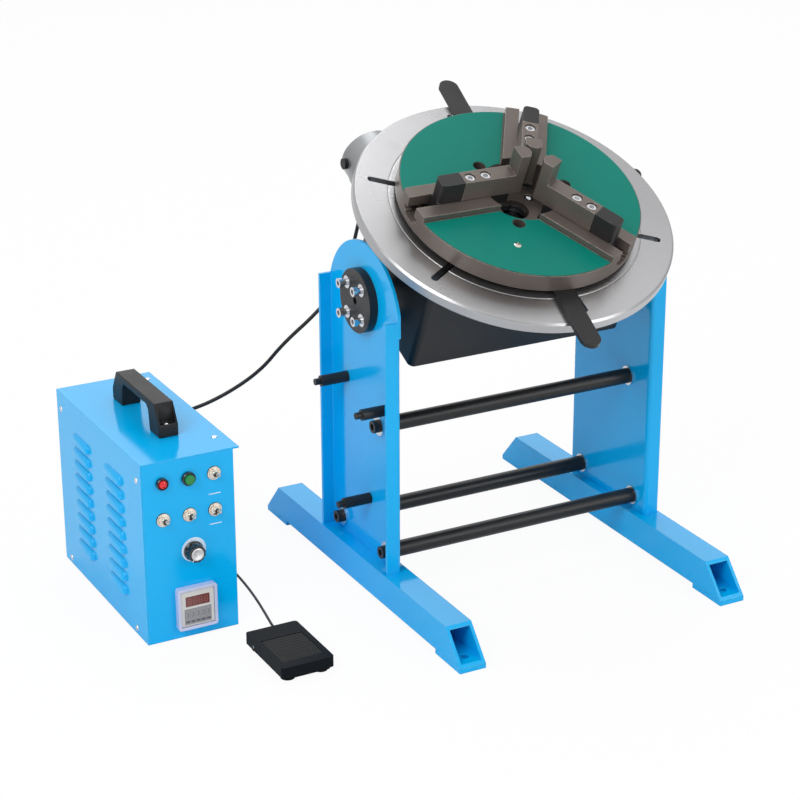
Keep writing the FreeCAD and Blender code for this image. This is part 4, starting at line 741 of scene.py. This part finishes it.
def knob():
    """A fluted knob with a skirt, a spun cap and a short pointer, over its dial plate."""
    sides, flute_every, flute, draft = 60, 5, 0.90, 0.93
    grip_radius, grip_low, grip_high, pointer_turn = 11.6, 3.4, 9.6, 140
    dial = bmesh.new()
    spun(dial, [(15.6, 0), (15.6, 0.3), (15.3, 0.45), (6.0, 0.45)],
         KNOB_AT @ spot(0.8, 1.2), 64)
    piece("knob_dial", dial, dial_silver, "stand")
    body = bmesh.new()
    spun(body, [(0, 0.6), (12.0, 0.6), (12.5, 1.2), (12.5, 2.6), (11.8, 3.4), (8.9, 3.9)],
         KNOB_AT, sides)
    before = set(body.verts)
    ring = bmesh.ops.create_circle(body, segments=sides, radius=grip_radius * MM,
                                   cap_ends=True, matrix=spot(0, 0, grip_low))["verts"]
    for count, vert in enumerate(ring):
        if count % flute_every == 0:
            vert.co.x *= flute
            vert.co.y *= flute
    face = next(iter(ring[0].link_faces))
    up = bmesh.ops.extrude_face_region(body, geom=[face])["geom"]
    bmesh.ops.translate(body, vec=(0, 0, grip_high * MM), verts=only_verts(up))
    bmesh.ops.scale(body, vec=(draft, draft, 1), verts=only_verts(up))
    top = [f for f in up if isinstance(f, bmesh.types.BMFace)]
    bmesh.ops.inset_individual(body, faces=top, thickness=0.8 * MM, depth=0.7 * MM)
    grip = [v for v in body.verts if v not in before]
    bmesh.ops.transform(body, matrix=KNOB_AT, verts=grip)
    piece("knob_body", body, gloss_black, "speed_knob", replaced=["speed_knob"])
    cap = bmesh.new()
    spun(cap, [(7.9, 13.2), (7.9, 14.1), (7.5, 14.35), (6.4, 14.35), (6.0, 14.2), (0, 14.2)],
         KNOB_AT, 48)
    piece("knob_cap", cap, silver_cap, "speed_knob")
    pointer = bmesh.new()
    for y, long, low, high in ((9.4, 2.4, 13.0, 13.95), (12.0, 1.0, 2.2, 2.8)):
        slab(pointer, oblong(0, y, 0.9, long), low, high, KNOB_AT @ turned(pointer_turn))
    piece("knob_pointer", pointer, white_mark, "speed_knob", smooth=False)


def panel_lines():
    """The two short lines above and below the lower right switch."""
    line_long, line_wide = 15, 0.9
    bm = bmesh.new()
    right = (TOGGLES_AT[3].to_translation() - box_low) / MM
    for up in (20.5, -18.5):
        slab(bm, oblong(right.x + 0.3, right.z + up, line_long, line_wide), 0.02, 0.15,
             BOX @ turned(90, "X"))
    piece("panel_lines", bm, white_mark, "stand", smooth=False)


def timer():
    """The timer: pale face in a clear hinged cover, with its display, keys and case."""
    case_wide, case_tall, case_deep = 45, 48.5, 78
    rim_wide, rim_sunk, rim_corner = 3.6, 3.4, 3.4
    display_up, digit_first, digit_pitch = 9.5, -10.5, 7
    key_first, key_pitch, key_up = -13.4, 6.7, -7.6
    low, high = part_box("timer")
    wide, tall, proud = (high.x - low.x) / MM, (high.z - low.z) / MM, (box_low.y - low.y) / MM
    face = bmesh.new()
    slab(face, oblong(0, 0, wide - 8.0, tall - 9.0), 0.1, proud - 1.6, TIMER_AT, corner=1.0)
    slab(face, oblong(0, 0, case_wide, case_tall), -case_deep, 0.1, TIMER_AT, corner=1.0)
    piece("timer_face", face, pale_grey, "stand", bevel=0.4, replaced=["timer"])
    rim = bmesh.new()
    slab(rim, oblong(0, 0, wide, tall), 0.05, proud - 0.2, Matrix.Identity(4),
         corner=rim_corner)
    front = max(rim.faces, key=lambda found: found.calc_center_median().z)
    bmesh.ops.inset_individual(rim, faces=[front], thickness=rim_wide * MM)
    sunk = bmesh.ops.extrude_discrete_faces(rim, faces=[front])["faces"]
    bmesh.ops.translate(rim, vec=(0, 0, -rim_sunk * MM), verts=list(sunk[0].verts))
    bmesh.ops.transform(rim, matrix=TIMER_AT, verts=rim.verts)
    slab(rim, oblong(4.0, tall / 2 - 1.2, 15.0, 2.2), 0.2, proud, TIMER_AT, corner=0.8)
    piece("timer_cover", rim, clear_cover, "stand", bevel=0.5)
    window = bmesh.new()
    slab(window, oblong(0, display_up, 31.0, 13.0), proud - 1.7, proud - 1.2, TIMER_AT,
         corner=0.6)
    piece("timer_window", window, display_red, "stand", bevel=0.15)
    digits = bmesh.new()
    strokes = ((0, 3.6, 3.4, 0.7), (0, 0, 3.4, 0.7), (0, -3.6, 3.4, 0.7), (-2, 1.8, 0.7, 2.8),
               (2, 1.8, 0.7, 2.8), (-2, -1.8, 0.7, 2.8), (2, -1.8, 0.7, 2.8))
    for number in range(4):
        for dx, dy, width, height in strokes:
            x = digit_first + number * digit_pitch
            slab(digits, oblong(x + dx, display_up + dy, width, height), proud - 1.25,
                 proud - 1.12, TIMER_AT)
    piece("timer_digits", digits, digit_red, "stand", smooth=False)
    keys = bmesh.new()
    slab(keys, oblong(0, -10.5, 35.0, 21.0), proud - 1.7, proud - 1.35, TIMER_AT, corner=0.6)
    for number in range(5):
        x = key_first + number * key_pitch
        slab(keys, oblong(x, key_up, 5.6, 11.6), proud - 1.4, proud - 0.8, TIMER_AT, corner=0.6)
    piece("timer_keys", keys, key_grey, "stand", bevel=0.2)
    marks = bmesh.new()
    for number in range(5):
        x = key_first + number * key_pitch
        for dx, y, width, height in ((-0.3, -5.4, 2.2, 0.8), (0.7, -7.6, 0.8, 3.2),
                                     (-0.3, -10.0, 2.6, 0.8)):
            slab(marks, oblong(x + dx, y, width, height), proud - 0.85, proud - 0.72, TIMER_AT)
        slab(marks, oblong(x, -17.2, 5.2, 2.6), proud - 1.4, proud - 1.1, TIMER_AT)
    piece("timer_key_marks", marks, key_dark, "stand", smooth=False)


def cover_screws():
    """The screws that hold the cover: four in its side and two in its top."""
    bm = bmesh.new()
    for y, z in ((14.3, 210), (266.5, 211.7), (34.7, 8), (259.6, 8)):
        pan_head(bm, BOX @ spot(-SHEET, y, z) @ turned(-90, "Y"))
    for x, y in ((112.6, 258.6), (109.8, 40.4)):
        pan_head(bm, BOX @ spot(x, y, BOX_TOP))
    piece("cover_screws", bm, zinc, "stand")


cover_shell()
handle()
lamp_and_button()
toggle_fittings()
knob()
panel_lines()
timer()
cover_screws()


# ---------------------------------------------------------------- foot switch


def foot_switch():
    """Ribbed tread in the treadle's recess, and a base with four pads, pin lugs and gland."""
    tread_top, rib_count, rib_first, rib_pitch = 19.5, 9, 20.5, 6
    inset, pad_in, lug_in, pin_along = 3.3, 12.5, 4.4, 81.6
    middle_x, middle_y = PEDAL_WIDTH / 2, PEDAL_DEPTH / 2
    tread = bmesh.new()
    slab(tread, oblong(middle_x, 44.5, PEDAL_WIDTH - 15.2, 57.8), 18.6, tread_top, PEDAL,
         corner=1.5)
    for rib in range(rib_count):
        slab(tread, oblong(middle_x, rib_first + rib * rib_pitch, PEDAL_WIDTH - 19, 1.2),
             tread_top - 0.2, tread_top + 0.35, PEDAL)
    piece("pedal_tread", tread, tread_rubber, "treadle", bevel=0.25)
    base = bmesh.new()
    slab(base, oblong(middle_x, middle_y, PEDAL_WIDTH - 2 * inset, PEDAL_DEPTH - 2 * inset),
         2.6, 9.0, PEDAL, corner=3.0)
    for x in (pad_in, PEDAL_WIDTH - pad_in):
        for y in (pad_in, PEDAL_DEPTH - pad_in):
            spun(base, [(0, 0), (8.2, 0), (9.0, 0.8), (9.0, 2.8), (0, 2.8)],
                 PEDAL @ spot(x, y), 28)
    for x in (lug_in, PEDAL_WIDTH - lug_in):
        slab(base, oblong(x, pin_along, 2.2, 9.6), 8.0, 14.2, PEDAL, corner=0.8)
    slab(base, oblong(49, PEDAL_DEPTH, 9.6, 7.6), 0.2, 5.8, PEDAL, corner=1.2)
    piece("pedal_stand", base, pedal_plastic, "stand", bevel=0.5, replaced=["pedal_base"])


foot_switch()


# ---------------------------------------------------------------- jaws, chuck and motor


def jaw_screws():
    """Two socket screws in each top jaw; the third jaw stands one step further out."""
    jaw_top, step_out = 54.0, 12
    for number in (1, 2, 3):
        way = TABLE.to_3x3().inverted() @ Vector(JOINT[f"jaw_{number}_slide"]["axis"])
        angle = math.degrees(math.atan2(way.y, way.x))
        out = step_out if number == 3 else 0
        on_jaw = TABLE @ turned(angle) @ spot(out, 0)
        screws = bmesh.new()
        for along in (58.5, 79.5):
            socket_head(screws, on_jaw @ spot(along, 0, jaw_top), 6.2, 10.2, 3.4, 4.5)
        piece(f"jaw_screws_{number}", screws, zinc, f"jaw_{number}")


def chuck_plug():
    """The small bright plug in the front sector."""
    face_up, plug_out, plug_turn = 30.25, 101, 240
    plug = bmesh.new()
    spun(plug, [(0, face_up), (3.9, face_up), (4.4, 30.0)],
         TABLE @ turned(plug_turn) @ spot(plug_out, 0), 24)
    piece("chuck_plug", plug, nickel, "table")


def motor_screws():
    """Four socket screws in the motor's far end."""
    motor_end = HEAD @ spot(-92, 200.9, 48) @ turned(-90, "X")
    screws = bmesh.new()
    for number in range(4):
        place = motor_end @ turned(45 + 90 * number) @ spot(30, 0)
        socket_head(screws, place, 3.4, 3.0, 1.7, 1.8)
    piece("motor_screws", screws, zinc, "head")


jaw_screws()
chuck_plug()
motor_screws()


# ---------------------------------------------------------------- light, floor and camera


def studio_floor():
    """A white floor that keeps a soft part of the shadows."""
    glow_share = 0.94
    mesh = bpy.data.meshes.new("studio_floor")
    bm = bmesh.new()
    bmesh.ops.create_grid(bm, x_segments=1, y_segments=1, size=4.0)
    bmesh.ops.translate(bm, vec=(0, 0, -0.0005), verts=bm.verts)
    bm.to_mesh(mesh)
    bm.free()
    made = bpy.data.objects.new("studio_floor", mesh)
    bpy.context.scene.collection.objects.link(made)
    material, tree, shader = start_finish("studio_white")
    shader.inputs["Base Color"].default_value = (0.9, 0.9, 0.9, 1)
    shader.inputs["Roughness"].default_value = 0.9
    paths = tree.nodes.new("ShaderNodeLightPath")
    glow = tree.nodes.new("ShaderNodeEmission")
    glow.inputs["Color"].default_value = (1, 1, 1, 1)
    mix = tree.nodes.new("ShaderNodeMixShader")
    share = maths(tree, "MULTIPLY", paths.outputs["Is Camera Ray"], glow_share)
    tree.links.new(share, mix.inputs["Fac"])
    tree.links.new(shader.outputs[0], mix.inputs[1])
    tree.links.new(glow.outputs[0], mix.inputs[2])
    tree.links.new(mix.outputs[0], tree.nodes["Material Output"].inputs["Surface"])
    mesh.materials.append(material)


def studio_world():
    """A plain grey-white room: white to the eye, and brighter overhead in reflections."""
    plain = 0.58
    world = bpy.data.worlds.new("studio")
    bpy.context.scene.world = world
    world.use_nodes = True
    tree = world.node_tree
    background = tree.nodes["Background"]
    background.inputs["Color"].default_value = (1, 1, 1, 1)
    paths = tree.nodes.new("ShaderNodeLightPath").outputs
    direction = tree.nodes.new("ShaderNodeSeparateXYZ")
    around = tree.nodes.new("ShaderNodeTexCoord").outputs["Generated"]
    tree.links.new(around, direction.inputs[0])
    sky = spread(tree, direction.outputs["Z"], -0.1, 0.8, 0.55, 1.0)
    seen = maths(tree, "MAXIMUM", paths["Is Glossy Ray"], paths["Is Transmission Ray"])
    extra = maths(tree, "MULTIPLY", seen, maths(tree, "SUBTRACT", sky, plain))
    strength = maths(tree, "ADD", extra, plain)
    strength = maths(tree, "MAXIMUM", strength, paths["Is Camera Ray"])
    tree.links.new(strength, background.inputs["Strength"])


def lamp(name, place, aim, size, power):
    """An oblong studio lamp that faces its aim."""
    data = bpy.data.lights.new(name, "AREA")
    data.shape = "RECTANGLE"
    data.size, data.size_y = size
    data.energy = power
    made = bpy.data.objects.new(name, data)
    made.location = place
    made.rotation_euler = (Vector(aim) - Vector(place)).to_track_quat("-Z", "Y").to_euler()
    bpy.context.scene.collection.objects.link(made)


def studio_camera():
    """A long lens that looks down on the positioner from its front left."""
    lens, sensor, distance = 101.59065, 36, 2.8175
    turn, down, roll = math.radians(27.96), math.radians(21.57), math.radians(0.19)
    target = Vector((-0.1289, 0.020, 0.2314))
    data = bpy.data.cameras.new("camera")
    data.lens = lens
    data.sensor_width = sensor
    data.clip_start = 0.05
    camera = bpy.data.objects.new("camera", data)
    bpy.context.scene.collection.objects.link(camera)
    ahead = Vector((math.sin(turn) * math.cos(down), math.cos(turn) * math.cos(down),
                    -math.sin(down)))
    rolled = Matrix.Rotation(-roll, 3, "Z").to_quaternion()
    camera.location = target - ahead * distance
    camera.rotation_mode = "QUATERNION"
    camera.rotation_quaternion = ahead.to_track_quat("-Z", "Y") @ rolled
    bpy.context.scene.camera = camera


studio_floor()
studio_world()
lamp("key_light", (-2.4, -1.2, 2.4), (-0.1, 0, 0.25), (1.6, 1.6), 44)
lamp("fill_light", (1.4, -2.6, 1.4), (0, 0, 0.3), (1.8, 1.8), 22)
lamp("top_light", (0.2, 1.4, 2.8), (0, 0, 0.4), (1.6, 1.6), 20)
lamp("back_light", (1.7, 3.2, 2.0), (0, 0, 0.4), (3.4, 2.2), 17)
studio_camera()
bpy.context.scene.view_settings.view_transform = "Standard"
